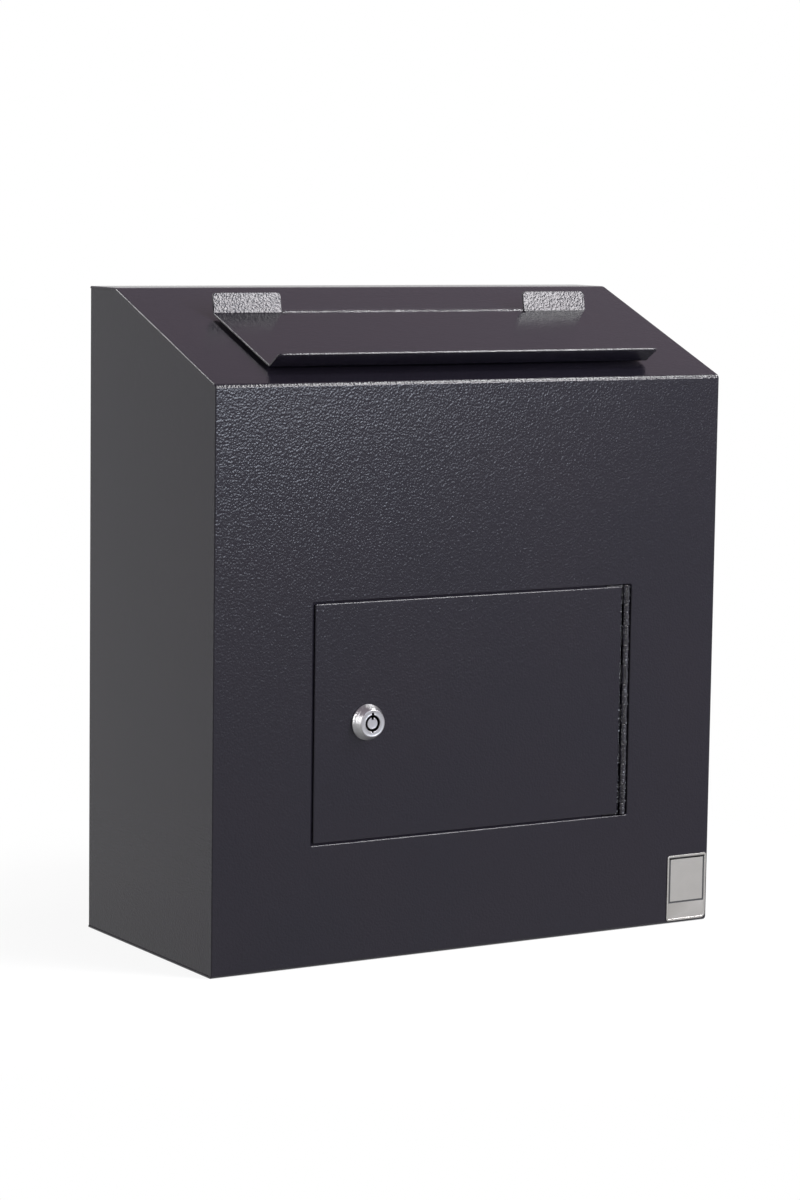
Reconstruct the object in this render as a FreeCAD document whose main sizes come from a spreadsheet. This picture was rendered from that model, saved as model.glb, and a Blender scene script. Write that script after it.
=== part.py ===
"""Wall-mounted drop box: sheet-steel case, hinged drop flap, flush door and tubular-key cam lock.

Millimetres. +Z is up, the front faces -Y and +X is to the right seen from the front. The origin is the
centre of the case's bottom face. Angles are in degrees.
"""
import FreeCAD, Part
import math
import os
import Sketcher
from types import SimpleNamespace

SIZES = {
    # Case, bent from one sheet between two flat side plates
    "case_width": 364.0,
    "case_depth": 165.0,
    "case_height": 406.0,
    "slope_drop": 52.5,
    "top_depth": 34.0,
    "wall": 1.5,
    "base_bend_radius": 3.0,
    "front_bend_radius": 3.0,
    "top_bend_radius": 9.0,
    "side_recess": 0.4,
    "edge_round": 0.4,
    "back_flange": 12.0,
    "back_bend_radius": 2.5,
    "wall_hole_diameter": 8.0,
    "wall_hole_spread": 203.2,
    "wall_hole_rise": 152.4,
    "wall_hole_bottom": 60.0,
    # Door opening, door and stops
    "opening_width": 232.1,
    "opening_height": 147.7,
    "opening_bottom": 74.9,
    "opening_shift": 1.25,
    "opening_corner": 1.0,
    "door_gap": 1.1,
    "door_lock_side_gap": 1.7,
    "door_hinge_gap": 1.85,
    "stop_overlap": 8.0,
    "stop_weld_lap": 13.0,
    "stop_bend_radius": 1.0,
    "stiffener_length": 138.0,
    "stiffener_width": 44.0,
    "stiffener_height": 8.0,
    "stiffener_flange": 10.0,
    "stiffener_sheet": 1.2,
    "stiffener_crown_round": 1.8,
    "stiffener_hinge_margin": 6.0,
    # Continuous hinges of door and flap
    "barrel_diameter": 3.8,
    "hinge_pin_diameter": 2.0,
    "hinge_pin_clearance": 0.05,
    "leaf_thickness": 0.8,
    "leaf_width": 14.0,
    "knuckle_pitch": 12.7,
    "knuckle_gap": 0.3,
    "knuckle_clearance": 0.3,
    "knuckle_shortest": 0.9,
    "barrel_end_gap": 0.5,
    # Drop slot and flap, measured up the slope from the front bend
    "slot_width": 230.0,
    "slot_start": 34.0,
    "slot_length": 44.0,
    "slot_corner": 5.0,
    "flap_width": 273.8,
    "flap_start": 20.1,
    "flap_end": 94.7,
    "flap_sheet": 1.5,
    "flap_leaf_gap": 0.2,
    "flap_barrel_lift": 0.15,
    "flap_bend_radius": 0.8,
    "lip_length": 13.9,
    "lip_angle": 53.8,
    "lip_corner": 2.0,
    "tab_width": 47.6,
    "tab_length": 12.6,
    "tab_angle": 59.0,
    "tab_corner": 2.5,
    "tab_hinge_gap": 0.4,
    "tab_relief_width": 1.2,
    "tab_relief_depth": 2.6,
    # Baffles below the slot
    "baffle_sheet": 1.2,
    "baffle_flange": 10.0,
    "baffle_bend_radius": 1.0,
    "baffle_side_gap": 0.5,
    "front_baffle_setback": 2.0,
    "front_baffle_length": 84.0,
    "front_baffle_angle": 70.0,
    "rear_baffle_bottom": 290.0,
    "rear_baffle_flange": 15.0,
    "rear_baffle_length": 65.0,
    "rear_baffle_angle": 60.0,
    # Cam lock; depths run inward from the door's front face
    "lock_inset": 37.0,
    "lock_drop": 0.95,
    "lock_head_height": 6.6,
    "lock_base_diameter": 22.0,
    "lock_base_rim": 0.8,
    "lock_face_diameter": 17.1,
    "lock_face_chamfer": 0.4,
    "lock_thread_diameter": 19.0,
    "lock_flats": 16.0,
    "lock_body_length": 18.0,
    "lock_hole_clearance": 0.1,
    "lock_rear_wall": 2.0,
    "keyway_diameter": 10.0,
    "keyway_depth": 5.0,
    "post_diameter": 7.3,
    "post_recess": 0.4,
    "post_rim": 0.3,
    "index_width": 1.4,
    "index_reach": 1.5,
    "index_run_in": 0.5,
    "index_depth": 3.5,
    "plug_clearance": 0.05,
    "tail_diameter": 7.8,
    "tail_square": 5.5,
    "tail_thread": 5.0,
    "tail_length": 10.5,
    "tumbler_diameter": 1.1,
    "tumbler_circle": 8.65,
    "tumbler_length": 4.5,
    "tumbler_stand": 1.5,
    "tumbler_clearance": 0.03,
    "lock_washer_diameter": 25.0,
    "lock_washer_thickness": 0.8,
    "lock_nut_width": 24.0,
    "lock_nut_thickness": 4.0,
    "stop_washer_diameter": 16.0,
    "stop_washer_thickness": 1.0,
    "cam_width": 16.0,
    "cam_thickness": 2.0,
    "cam_hub_round": 6.4,
    "cam_tip_round": 3.2,
    "cam_engagement": 12.0,
    "cam_clearance": 0.5,
    "cam_fit": 0.05,
    "cam_washer_diameter": 10.0,
    "cam_washer_thickness": 1.0,
    "cam_nut_width": 8.0,
    "cam_nut_thickness": 3.5,
    # Blank plate at the lower right of the front
    "plate_width": 30.5,
    "plate_height": 42.7,
    "plate_thickness": 0.6,
    "plate_corner": 2.0,
    "plate_right_margin": 1.3,
    "plate_bottom_margin": 2.1,
    "plate_border": 1.4,
    "plate_recess": 0.25,
}
TUMBLERS = 7
HEX_SIDES = 6
EDGE_TOLERANCE = 0.01
COUNT_TOLERANCE = 0.001
ORIGIN = FreeCAD.Vector(0, 0, 0)
X_AXIS = FreeCAD.Vector(1, 0, 0)
Y_AXIS = FreeCAD.Vector(0, 1, 0)
Z_AXIS = FreeCAD.Vector(0, 0, 1)
TO_THE_BACK = FreeCAD.Placement(ORIGIN, FreeCAD.Rotation(X_AXIS, -90))
TO_THE_RIGHT = FreeCAD.Placement(ORIGIN, FreeCAD.Rotation(Y_AXIS, 90))
# Any turn but none keeps the axis while the sheet's formula sets the angle
UP_THE_SLOPE = FreeCAD.Placement(ORIGIN, FreeCAD.Rotation(X_AXIS, 1))


class Size:
    """A dimension that knows its number and the spreadsheet formula that gives it."""

    def __init__(self, value, formula):
        self.value = float(value)
        self.formula = formula

    def join(self, sign, other, value):
        return Size(value, f"({self.formula} {sign} {other.formula})")

    def __add__(self, other):
        other = as_size(other)
        return self.join("+", other, self.value + other.value)

    def __sub__(self, other):
        other = as_size(other)
        return self.join("-", other, self.value - other.value)

    def __mul__(self, other):
        other = as_size(other)
        return self.join("*", other, self.value * other.value)

    def __truediv__(self, other):
        other = as_size(other)
        return self.join("/", other, self.value / other.value)

    def __neg__(self):
        return Size(-self.value, f"(0 - {self.formula})")

    __radd__ = __add__
    __rmul__ = __mul__


def as_size(number):
    return number if isinstance(number, Size) else Size(number, str(float(number)))


def root(size):
    return Size(math.sqrt(size.value), f"sqrt({size.formula})")


def sine(angle):
    return Size(math.sin(math.radians(angle.value)), f"sin({angle.formula})")


def cosine(angle):
    return Size(math.cos(math.radians(angle.value)), f"cos({angle.formula})")


def half_tangent(angle):
    return Size(math.tan(math.radians(angle.value / 2)), f"tan({angle.formula} / 2)")


doc = FreeCAD.newDocument("DropBox")
sheet = doc.addObject("Spreadsheet::Sheet", "Sizes")
for row, (alias, number) in enumerate(SIZES.items(), start=1):
    sheet.set(f"A{row}", alias)
    sheet.set(f"B{row}", str(number))
    sheet.setAlias(f"B{row}", alias)
doc.recompute()
s = SimpleNamespace(**{alias: Size(number, f"Sizes.{alias}") for alias, number in SIZES.items()})
nodes = []

# Case lines that several pieces share
front_y = -s.case_depth / 2
back_y = s.case_depth / 2
inner_front_y = front_y + s.wall
front_height = s.case_height - s.slope_drop
slope_run = s.case_depth - s.top_depth
slope_length = root(s.slope_drop * s.slope_drop + slope_run * slope_run)
slope_cos = slope_run / slope_length
slope_sin = s.slope_drop / slope_length
slope_angle = Size(math.degrees(math.atan2(s.slope_drop.value, slope_run.value)),
                   f"atan({s.slope_drop.formula} / {slope_run.formula})")
inner_bend_z = front_height + s.wall * slope_sin / slope_cos - s.wall / slope_cos
inner_top_z = s.case_height - s.wall
inner_top_y = inner_front_y + (inner_top_z - inner_bend_z) * slope_cos / slope_sin
side_outer_x = s.case_width / 2 - s.side_recess
side_inner_x = side_outer_x - s.wall
inner_profile = [
    (back_y, s.wall),
    (inner_front_y, s.wall),
    (inner_front_y, inner_bend_z),
    (inner_top_y, inner_top_z),
    (back_y, inner_top_z),
]

# Door opening and door
opening_left = s.opening_shift - s.opening_width / 2
opening_right = s.opening_shift + s.opening_width / 2
opening_top = s.opening_bottom + s.opening_height
barrel_radius = s.barrel_diameter / 2
door_hinge_x = opening_right - s.door_hinge_gap - barrel_radius
door_hinge_y = inner_front_y + s.leaf_thickness - barrel_radius
door_left = opening_left + s.door_lock_side_gap
door_right = door_hinge_x - barrel_radius - s.door_hinge_gap
door_bottom = s.opening_bottom + s.door_gap
door_top = opening_top - s.door_gap
door_mid_z = s.opening_bottom + s.opening_height / 2
stop_edge_x = opening_left + s.stop_overlap
stop_back_y = inner_front_y + s.wall

# Lock, a little below the door's mid height
lock_x = door_left + s.lock_inset
lock_z = door_mid_z - s.lock_drop
cam_front = s.lock_body_length + s.stop_washer_thickness
cam_length = lock_x - stop_edge_x + s.cam_engagement

# Flap hinge axis, in the slope's own frame: along the slope, and out from its face
flap_gap = s.leaf_thickness * 2 + s.flap_leaf_gap
flap_top = flap_gap + s.flap_sheet
flap_axis_run = s.flap_end + s.knuckle_clearance + barrel_radius
flap_axis_out = s.flap_barrel_lift + barrel_radius
flap_barrel_length = s.flap_width - s.tab_width * 2 - s.tab_hinge_gap * 2


def bind(item, path, size):
    item.setExpression(path, as_size(size).formula)


def new_body(label):
    """A body that becomes the node of this name."""
    item = doc.addObject("PartDesign::Body", label)
    item.Label = label
    nodes.append(item)
    return item


def put(item, x=0, y=0, z=0):
    for axis, size in (("x", x), ("y", y), ("z", z)):
        bind(item, f"Placement.Base.{axis}", size)


def put_on_slope(item):
    """Local X stays across the case, Y runs up the slope and Z stands out from its face."""
    item.Placement = UP_THE_SLOPE
    bind(item, "Placement.Rotation.Angle", slope_angle)
    put(item, 0, front_y, front_height)


def new_sketch(body, role, lift=0):
    """A sketch on one of the body's origin planes, moved along the plane's normal."""
    plane = next(item for item in body.Origin.OriginFeatures if item.Role == role)
    sketch = body.newObject("Sketcher::SketchObject", f"{body.Label}_sketch")
    sketch.AttachmentSupport = [(plane, "")]
    sketch.MapMode = "FlatFace"
    bind(sketch, "AttachmentOffset.Base.z", lift)
    return sketch


def fix_point(sketch, geometry, point, x, y):
    """Ties one point of the sketch to its distances from the sketch's origin."""
    for kind, size in (("DistanceX", as_size(x)), ("DistanceY", as_size(y))):
        number = sketch.addConstraint(Sketcher.Constraint(kind, -1, 1, geometry, point, size.value))
        bind(sketch, f"Constraints[{number}]", size)


def outline(sketch, corners):
    """A closed outline with straight sides."""
    corners = [(as_size(x), as_size(y)) for x, y in corners]
    points = [FreeCAD.Vector(x.value, y.value, 0) for x, y in corners]
    first = sketch.GeometryCount
    count = len(points)
    for number in range(count):
        sketch.addGeometry(Part.LineSegment(points[number], points[(number + 1) % count]))
    for number in range(count):
        following = first + (number + 1) % count
        sketch.addConstraint(Sketcher.Constraint("Coincident", first + number, 2, following, 1))
    for number, (x, y) in enumerate(corners):
        fix_point(sketch, first + number, 1, x, y)


def rectangle(sketch, left, bottom, right, top):
    outline(sketch, [(left, bottom), (right, bottom), (right, top), (left, top)])


def circle(sketch, x, y, diameter):
    x, y, diameter = as_size(x), as_size(y), as_size(diameter)
    centre = FreeCAD.Vector(x.value, y.value, 0)
    geometry = sketch.addGeometry(Part.Circle(centre, Z_AXIS, diameter.value / 2))
    number = sketch.addConstraint(Sketcher.Constraint("Diameter", geometry, diameter.value))
    bind(sketch, f"Constraints[{number}]", diameter)
    fix_point(sketch, geometry, 3, x, y)


def flatted_circle(sketch, x, y, diameter, flats):
    """A round outline with two upright flats, as a lock body and its hole have."""
    half = flats / 2
    radius = diameter / 2
    reach = root(radius * radius - half * half)
    corners = [(x + half, y - reach), (x + half, y + reach), (x - half, y + reach), (x - half, y - reach)]
    points = [FreeCAD.Vector(px.value, py.value, 0) for px, py in corners]
    top = FreeCAD.Vector(x.value, y.value + radius.value, 0)
    bottom = FreeCAD.Vector(x.value, y.value - radius.value, 0)
    sketch.addGeometry(Part.LineSegment(points[0], points[1]))
    sketch.addGeometry(Part.Arc(points[1], top, points[2]))
    sketch.addGeometry(Part.LineSegment(points[2], points[3]))
    sketch.addGeometry(Part.Arc(points[3], bottom, points[0]))
    for line, arc, line_point, arc_point in ((0, 1, 2, 1), (2, 1, 1, 2), (2, 3, 2, 1), (0, 3, 1, 2)):
        sketch.addConstraint(Sketcher.Constraint("Coincident", line, line_point, arc, arc_point))
    fix_point(sketch, 0, 1, *corners[0])
    fix_point(sketch, 0, 2, *corners[1])
    fix_point(sketch, 2, 1, *corners[2])
    fix_point(sketch, 2, 2, *corners[3])
    for arc in (1, 3):
        number = sketch.addConstraint(Sketcher.Constraint("Radius", arc, radius.value))
        bind(sketch, f"Constraints[{number}]", radius)


def pad(body, sketch, length, midplane=False):
    feature = body.newObject("PartDesign::Pad", f"{body.Label}_pad")
    feature.Profile = sketch
    feature.Midplane = midplane
    bind(feature, "Length", length)
    return feature


def through(thickness):
    """A cut's depth that is sure to pass through the sheet."""
    return thickness * 2


def pocket(body, sketch, length):
    """Cuts against the sketch's normal and makes sure that material went."""
    doc.recompute()
    before = body.Shape.Volume
    feature = body.newObject("PartDesign::Pocket", f"{body.Label}_pocket")
    feature.Profile = sketch
    bind(feature, "Length", length)
    doc.recompute()
    if not body.Shape.Volume < before:
        raise RuntimeError(f"{feature.Label} cuts nothing")
    return feature


def turn_solid(body, sketch):
    """Revolves the sketch's outline about its vertical axis."""
    feature = body.newObject("PartDesign::Revolution", f"{body.Label}_turned")
    feature.Profile = sketch
    feature.ReferenceAxis = (sketch, ["V_Axis"])
    feature.Angle = 360
    return feature


def edge_names(shape, spots):
    """The edges that pass through the given points of the body's own frame."""
    names = []
    for spot in spots:
        vertex = Part.Vertex(FreeCAD.Vector(*[as_size(value).value for value in spot]))
        gaps = [edge.distToShape(vertex)[0] for edge in shape.Edges]
        if min(gaps) > EDGE_TOLERANCE:
            raise RuntimeError(f"no edge at {vertex.Point}")
        names.append(f"Edge{gaps.index(min(gaps)) + 1}")
    return sorted(set(names))


def round_edges(body, radius, spots):
    doc.recompute()
    base = body.Tip
    names = edge_names(base.Shape, spots)
    feature = body.newObject("PartDesign::Fillet", f"{body.Label}_round")
    feature.Base = (base, names)
    bind(feature, "Radius", radius)
    return feature


def bend(body, inner_spot, outer_spot, inner_radius, thickness):
    """Rounds the inside and the outside of one fold by the same bend."""
    round_edges(body, inner_radius, [inner_spot])
    round_edges(body, inner_radius + thickness, [outer_spot])


def folded_outline(x, y, leg, fold, thickness, angle, run=1, lift=1):
    """Outline of a sheet whose straight leg comes along the x axis and folds up at (x, y).

    The leg lies behind the fold; run and lift are 1 or -1 and turn the fold's direction round.
    Gives the corners and, after them, the crease inside the fold and the one outside it.
    """
    turn_x, turn_y = cosine(angle), sine(angle)
    local = [
        (-leg, as_size(0)),
        (as_size(0), as_size(0)),
        (fold * turn_x, fold * turn_y),
        (fold * turn_x + thickness * turn_y, fold * turn_y - thickness * turn_x),
        (thickness * half_tangent(angle), -thickness),
        (-leg, -thickness),
    ]
    corners = [(x + px * run, y + py * lift) for px, py in local]
    return corners, corners[1], corners[4]


def midway(first, second):
    return tuple((a + b) / 2 for a, b in zip(first, second))


def make_case_wrap():
    body = new_body("case_wrap")
    outer_profile = [
        (back_y, as_size(0)),
        (front_y, as_size(0)),
        (front_y, front_height),
        (back_y - s.top_depth, s.case_height),
        (back_y, s.case_height),
    ]
    sketch = new_sketch(body, "YZ_Plane")
    outline(sketch, outer_profile + inner_profile[::-1])
    pad(body, sketch, s.case_width, midplane=True)
    radii = (s.base_bend_radius, s.front_bend_radius, s.top_bend_radius)
    for number, radius in enumerate(radii, start=1):
        round_edges(body, radius - s.wall, [(0, *inner_profile[number])])
        round_edges(body, radius, [(0, *outer_profile[number])])

    door_hole = new_sketch(body, "XZ_Plane", -front_y)
    rectangle(door_hole, opening_left, s.opening_bottom, opening_right, opening_top)
    pocket(body, door_hole, through(s.wall))
    middle_y = front_y + s.wall / 2
    round_edges(body, s.opening_corner, [
        (x, middle_y, z) for x in (opening_left, opening_right) for z in (s.opening_bottom, opening_top)
    ])

    slot = new_sketch(body, "XY_Plane")
    slot.AttachmentOffset = UP_THE_SLOPE
    bind(slot, "AttachmentOffset.Rotation.Angle", slope_angle)
    bind(slot, "AttachmentOffset.Base.y", front_y)
    bind(slot, "AttachmentOffset.Base.z", front_height)
    slot_end = s.slot_start + s.slot_length
    rectangle(slot, -s.slot_width / 2, s.slot_start, s.slot_width / 2, slot_end)
    pocket(body, slot, through(s.wall))
    half_wall = s.wall / 2
    round_edges(body, s.slot_corner, [
        (x, front_y + run * slope_cos + half_wall * slope_sin,
         front_height + run * slope_sin - half_wall * slope_cos)
        for x in (-s.slot_width / 2, s.slot_width / 2) for run in (s.slot_start, slot_end)
    ])

    half_width = s.case_width / 2
    slot_front = (0, front_y + s.slot_start * slope_cos, front_height + s.slot_start * slope_sin)
    round_edges(body, s.edge_round, [
        (-half_width, front_y, door_mid_z),
        (half_width, front_y, door_mid_z),
        (opening_left, front_y, door_mid_z),
        slot_front,
    ])


def make_side_plate(label, inner_x):
    body = new_body(label)
    sketch = new_sketch(body, "YZ_Plane", inner_x)
    outline(sketch, inner_profile)
    pad(body, sketch, s.wall)
    middle_x = inner_x + s.wall / 2
    radii = (s.base_bend_radius, s.front_bend_radius, s.top_bend_radius)
    for number, radius in enumerate(radii, start=1):
        round_edges(body, radius - s.wall, [(middle_x, *inner_profile[number])])


def make_back_pan():
    body = new_body("back_pan")
    sketch = new_sketch(body, "XZ_Plane", -back_y)
    rectangle(sketch, -side_inner_x, s.wall, side_inner_x, inner_top_z)
    pad(body, sketch, s.back_flange)
    hollow = new_sketch(body, "XZ_Plane", s.back_flange - back_y)
    edge_x = side_inner_x - s.wall
    rectangle(hollow, -edge_x, s.wall * 2, edge_x, inner_top_z - s.wall)
    pocket(body, hollow, s.back_flange - s.wall)
    holes = new_sketch(body, "XZ_Plane", s.wall - back_y)
    for x in (-s.wall_hole_spread / 2, s.wall_hole_spread / 2):
        for z in (s.wall_hole_bottom, s.wall_hole_bottom + s.wall_hole_rise):
            circle(holes, x, z, s.wall_hole_diameter)
    pocket(body, holes, through(s.wall))
    mid_z = s.case_height / 2
    round_edges(body, s.back_bend_radius, [
        (-side_inner_x, back_y, mid_z),
        (side_inner_x, back_y, mid_z),
        (0, back_y, s.wall),
        (0, back_y, inner_top_z),
    ])


def make_door_panel():
    body = new_body("door_panel")
    sketch = new_sketch(body, "XZ_Plane", -inner_front_y)
    rectangle(sketch, door_left, door_bottom, door_right, door_top)
    pad(body, sketch, s.wall)
    hole = new_sketch(body, "XZ_Plane", -front_y)
    clear = s.lock_hole_clearance * 2
    flatted_circle(hole, lock_x, lock_z, s.lock_thread_diameter + clear, s.lock_flats + clear)
    pocket(body, hole, through(s.wall))
    middle_y = front_y + s.wall / 2
    round_edges(body, s.opening_corner, [
        (x, middle_y, z) for x in (door_left, door_right) for z in (door_bottom, door_top)
    ])
    round_edges(body, s.edge_round, [(door_left, front_y, door_mid_z)])


def make_door_stiffener():
    """A hat channel along the door's inner face, between the lock and the hinge."""
    body = new_body("door_stiffener")
    end_x = door_hinge_x - s.leaf_width - s.stiffener_hinge_margin
    put(body, end_x - s.stiffener_length, inner_front_y, lock_z)
    crown = s.stiffener_width / 2
    brim = crown + s.stiffener_flange
    web = crown - s.stiffener_sheet
    depth = s.stiffener_height
    inside = depth - s.stiffener_sheet
    lower = [
        (as_size(0), -brim), (as_size(0), -web), (inside, -web),
        (inside, web), (as_size(0), web), (as_size(0), brim),
    ]
    upper = [
        (s.stiffener_sheet, brim), (s.stiffener_sheet, crown), (depth, crown),
        (depth, -crown), (s.stiffener_sheet, -crown), (s.stiffener_sheet, -brim),
    ]
    sketch = new_sketch(body, "YZ_Plane")
    outline(sketch, lower + upper)
    pad(body, sketch, s.stiffener_length)
    along = s.stiffener_length / 2
    round_edges(body, s.stiffener_crown_round, [(along, depth, -crown), (along, depth, crown)])


def make_stop(label, low_z):
    """A flat strip welded behind the front sheet that the door's edge closes on."""
    strip = doc.addObject("Part::Box", label)
    strip.Label = label
    left = opening_left - s.stop_weld_lap
    bind(strip, "Length", door_hinge_x - s.leaf_width - s.barrel_end_gap - left)
    bind(strip, "Width", s.wall)
    bind(strip, "Height", s.stop_overlap + s.stop_weld_lap)
    put(strip, left, inner_front_y, low_z)
    nodes.append(strip)


def make_strike():
    """The lock-side stop, folded inward so that the cam hooks behind its edge."""
    body = new_body("door_strike")
    low = s.opening_bottom + s.stop_overlap
    height = s.opening_height - s.stop_overlap * 2
    put(body, 0, 0, low)
    left = opening_left - s.stop_weld_lap
    end_y = front_y + cam_front - s.cam_clearance
    inner_x = stop_edge_x - s.wall
    sketch = new_sketch(body, "XY_Plane")
    outline(sketch, [
        (left, inner_front_y), (stop_edge_x, inner_front_y), (stop_edge_x, end_y),
        (inner_x, end_y), (inner_x, stop_back_y), (left, stop_back_y),
    ])
    pad(body, sketch, height)
    half = height / 2
    bend(body, (inner_x, stop_back_y, half), (stop_edge_x, inner_front_y, half), s.stop_bend_radius, s.wall)


def make_hinge_leaf(label, role, axis_x, axis_y, start, length, side, low, takes_first):
    """One leaf of a continuous hinge, with every second knuckle of its barrel.

    The sketch plane's normal runs along the barrel, the leaf spreads to side (1 or -1) of the axis
    at (axis_x, axis_y), low is its lower face measured from the axis, and start is the barrel's end.
    """
    body = new_body(label)
    edge = axis_x + (barrel_radius + s.knuckle_clearance) * side
    tip = axis_x + s.leaf_width * side
    bottom = axis_y + low
    top = bottom + s.leaf_thickness
    plate = new_sketch(body, role, start)
    rectangle(plate, edge, bottom, tip, top)
    pad(body, plate, length)
    pitches = length / s.knuckle_pitch + COUNT_TOLERANCE
    whole = Size(math.floor(pitches.value), f"floor({pitches.formula})")
    rest = length - whole * s.knuckle_pitch
    has_rest = rest.value > s.knuckle_shortest.value
    knuckle = s.knuckle_pitch - s.knuckle_gap

    def add_knuckle(place, size):
        tongue = new_sketch(body, role, place)
        rectangle(tongue, axis_x, bottom, edge + s.leaf_thickness * side, top)
        ring = new_sketch(body, role, place)
        circle(ring, axis_x, axis_y, s.barrel_diameter)
        return [pad(body, tongue, size), pad(body, ring, size)]

    first_full = start + rest if has_rest else start
    skip = 1 if takes_first == has_rest else 0
    if has_rest and takes_first:
        add_knuckle(start + s.knuckle_gap / 2, rest - s.knuckle_gap)
    place = first_full + s.knuckle_pitch * skip + s.knuckle_gap / 2
    features = add_knuckle(place, knuckle)
    doc.recompute()
    copies = math.ceil((whole.value - skip) / 2)
    pattern = body.newObject("PartDesign::LinearPattern", f"{label}_knuckles")
    pattern.Originals = features
    pattern.Direction = (plate, ["N_Axis"])
    pattern.Occurrences = copies
    bind(pattern, "Length", s.knuckle_pitch * 2 * (copies - 1))
    body.Tip = pattern
    bore = new_sketch(body, role, start + length)
    circle(bore, axis_x, axis_y, s.hinge_pin_diameter + s.hinge_pin_clearance * 2)
    pocket(body, bore, length)
    return body


def make_hinge_pin(label, length):
    pin = doc.addObject("Part::Cylinder", label)
    pin.Label = label
    bind(pin, "Radius", s.hinge_pin_diameter / 2)
    bind(pin, "Height", length)
    nodes.append(pin)
    return pin


def make_door_hinge():
    low = barrel_radius - s.leaf_thickness
    start = s.opening_bottom + s.barrel_end_gap
    length = s.opening_height - s.barrel_end_gap * 2
    common = ("XY_Plane", door_hinge_x, door_hinge_y, start, length)
    make_hinge_leaf("door_hinge_frame_leaf", *common, 1, low, True)
    make_hinge_leaf("door_hinge_door_leaf", *common, -1, low, False)
    pin = make_hinge_pin("door_hinge_pin", length)
    put(pin, door_hinge_x, door_hinge_y, start)


def make_flap_hinge():
    start = -flap_barrel_length / 2
    common = ("YZ_Plane", flap_axis_run, flap_axis_out, start, flap_barrel_length)
    lower = make_hinge_leaf("flap_hinge_fixed_leaf", *common, -1, -flap_axis_out, True)
    put_on_slope(lower)
    moving_low = s.leaf_thickness + s.flap_leaf_gap - flap_axis_out
    upper = make_hinge_leaf("flap_hinge_moving_leaf", *common, -1, moving_low, False)
    put_on_slope(upper)
    pin = make_hinge_pin("flap_hinge_pin", flap_barrel_length)
    pin.Placement = TO_THE_RIGHT
    put(pin, start, front_y + flap_axis_run * slope_cos - flap_axis_out * slope_sin,
        front_height + flap_axis_run * slope_sin + flap_axis_out * slope_cos)


def make_flap_plate():
    body = new_body("flap_plate")
    put_on_slope(body)
    half = s.flap_width / 2
    lip, lip_crease, lip_outer = folded_outline(
        s.flap_start, flap_top, s.flap_start - s.flap_end, s.lip_length, s.flap_sheet, s.lip_angle, run=-1)
    lip = [(s.flap_end, flap_top), *lip[1:5], (s.flap_end, flap_gap)]
    sketch = new_sketch(body, "YZ_Plane")
    outline(sketch, lip)
    pad(body, sketch, s.flap_width, midplane=True)
    bend(body, (0, *lip_crease), (0, *lip_outer), s.flap_bend_radius, s.flap_sheet)

    tab, tab_crease, tab_outer = folded_outline(
        s.flap_end, flap_top, s.flap_sheet, s.tab_length, s.flap_sheet, s.tab_angle)
    for inner_x in (-half, half - s.tab_width):
        tab_sketch = new_sketch(body, "YZ_Plane", inner_x)
        outline(tab_sketch, tab)
        pad(body, tab_sketch, s.tab_width)
    tab_inner_x = half - s.tab_width
    relief = new_sketch(body, "XY_Plane", flap_top)
    notch_start = s.flap_end - s.tab_relief_depth
    notch_end = s.flap_end + s.flap_sheet
    rectangle(relief, tab_inner_x - s.tab_relief_width, notch_start, tab_inner_x, notch_end)
    rectangle(relief, -tab_inner_x, notch_start, s.tab_relief_width - tab_inner_x, notch_end)
    pocket(body, relief, through(s.flap_sheet))
    mid_tab = half - s.tab_width / 2
    for middle_x in (-mid_tab, mid_tab):
        bend(body, (middle_x, *tab_crease), (middle_x, *tab_outer), s.flap_bend_radius, s.flap_sheet)
    tab_tip = midway(tab[2], tab[3])
    round_edges(body, s.tab_corner, [(x, *tab_tip) for x in (-half, -tab_inner_x, tab_inner_x, half)])
    lip_tip = midway(lip[2], lip[3])
    round_edges(body, s.lip_corner, [(x, *lip_tip) for x in (-half, half)])


def make_front_baffle():
    """A sheet below the slot's front edge that throws what drops to the rear."""
    body = new_body("front_baffle")
    put_on_slope(body)
    corners, crease, outer = folded_outline(
        s.slot_start - s.front_baffle_setback, -s.wall - s.baffle_sheet, s.baffle_flange,
        s.front_baffle_length, s.baffle_sheet, s.front_baffle_angle, lift=-1)
    sketch = new_sketch(body, "YZ_Plane")
    outline(sketch, corners)
    pad(body, sketch, (side_inner_x - s.baffle_side_gap) * 2, midplane=True)
    bend(body, (0, *crease), (0, *outer), s.baffle_bend_radius, s.baffle_sheet)


def make_rear_baffle():
    """A sheet on the back plate that leans forward under the front baffle's edge."""
    body = new_body("rear_baffle")
    face_y = back_y - s.wall
    across = s.baffle_sheet * half_tangent(s.rear_baffle_angle)
    fold_y, fold_z = sine(s.rear_baffle_angle), cosine(s.rear_baffle_angle)
    length = s.rear_baffle_length
    front_face = face_y - s.baffle_sheet
    bottom = s.rear_baffle_bottom
    crease = (front_face, bottom)
    outer = (face_y, bottom - across)
    tip = (front_face - length * fold_y, bottom - length * fold_z)
    under_tip = (tip[0] + s.baffle_sheet * fold_z, tip[1] - s.baffle_sheet * fold_y)
    top = bottom + s.rear_baffle_flange
    sketch = new_sketch(body, "YZ_Plane")
    outline(sketch, [(front_face, top), (face_y, top), outer, under_tip, tip, crease])
    pad(body, sketch, (side_inner_x - s.wall - s.baffle_side_gap) * 2, midplane=True)
    bend(body, (0, *crease), (0, *outer), s.baffle_bend_radius, s.baffle_sheet)


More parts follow.
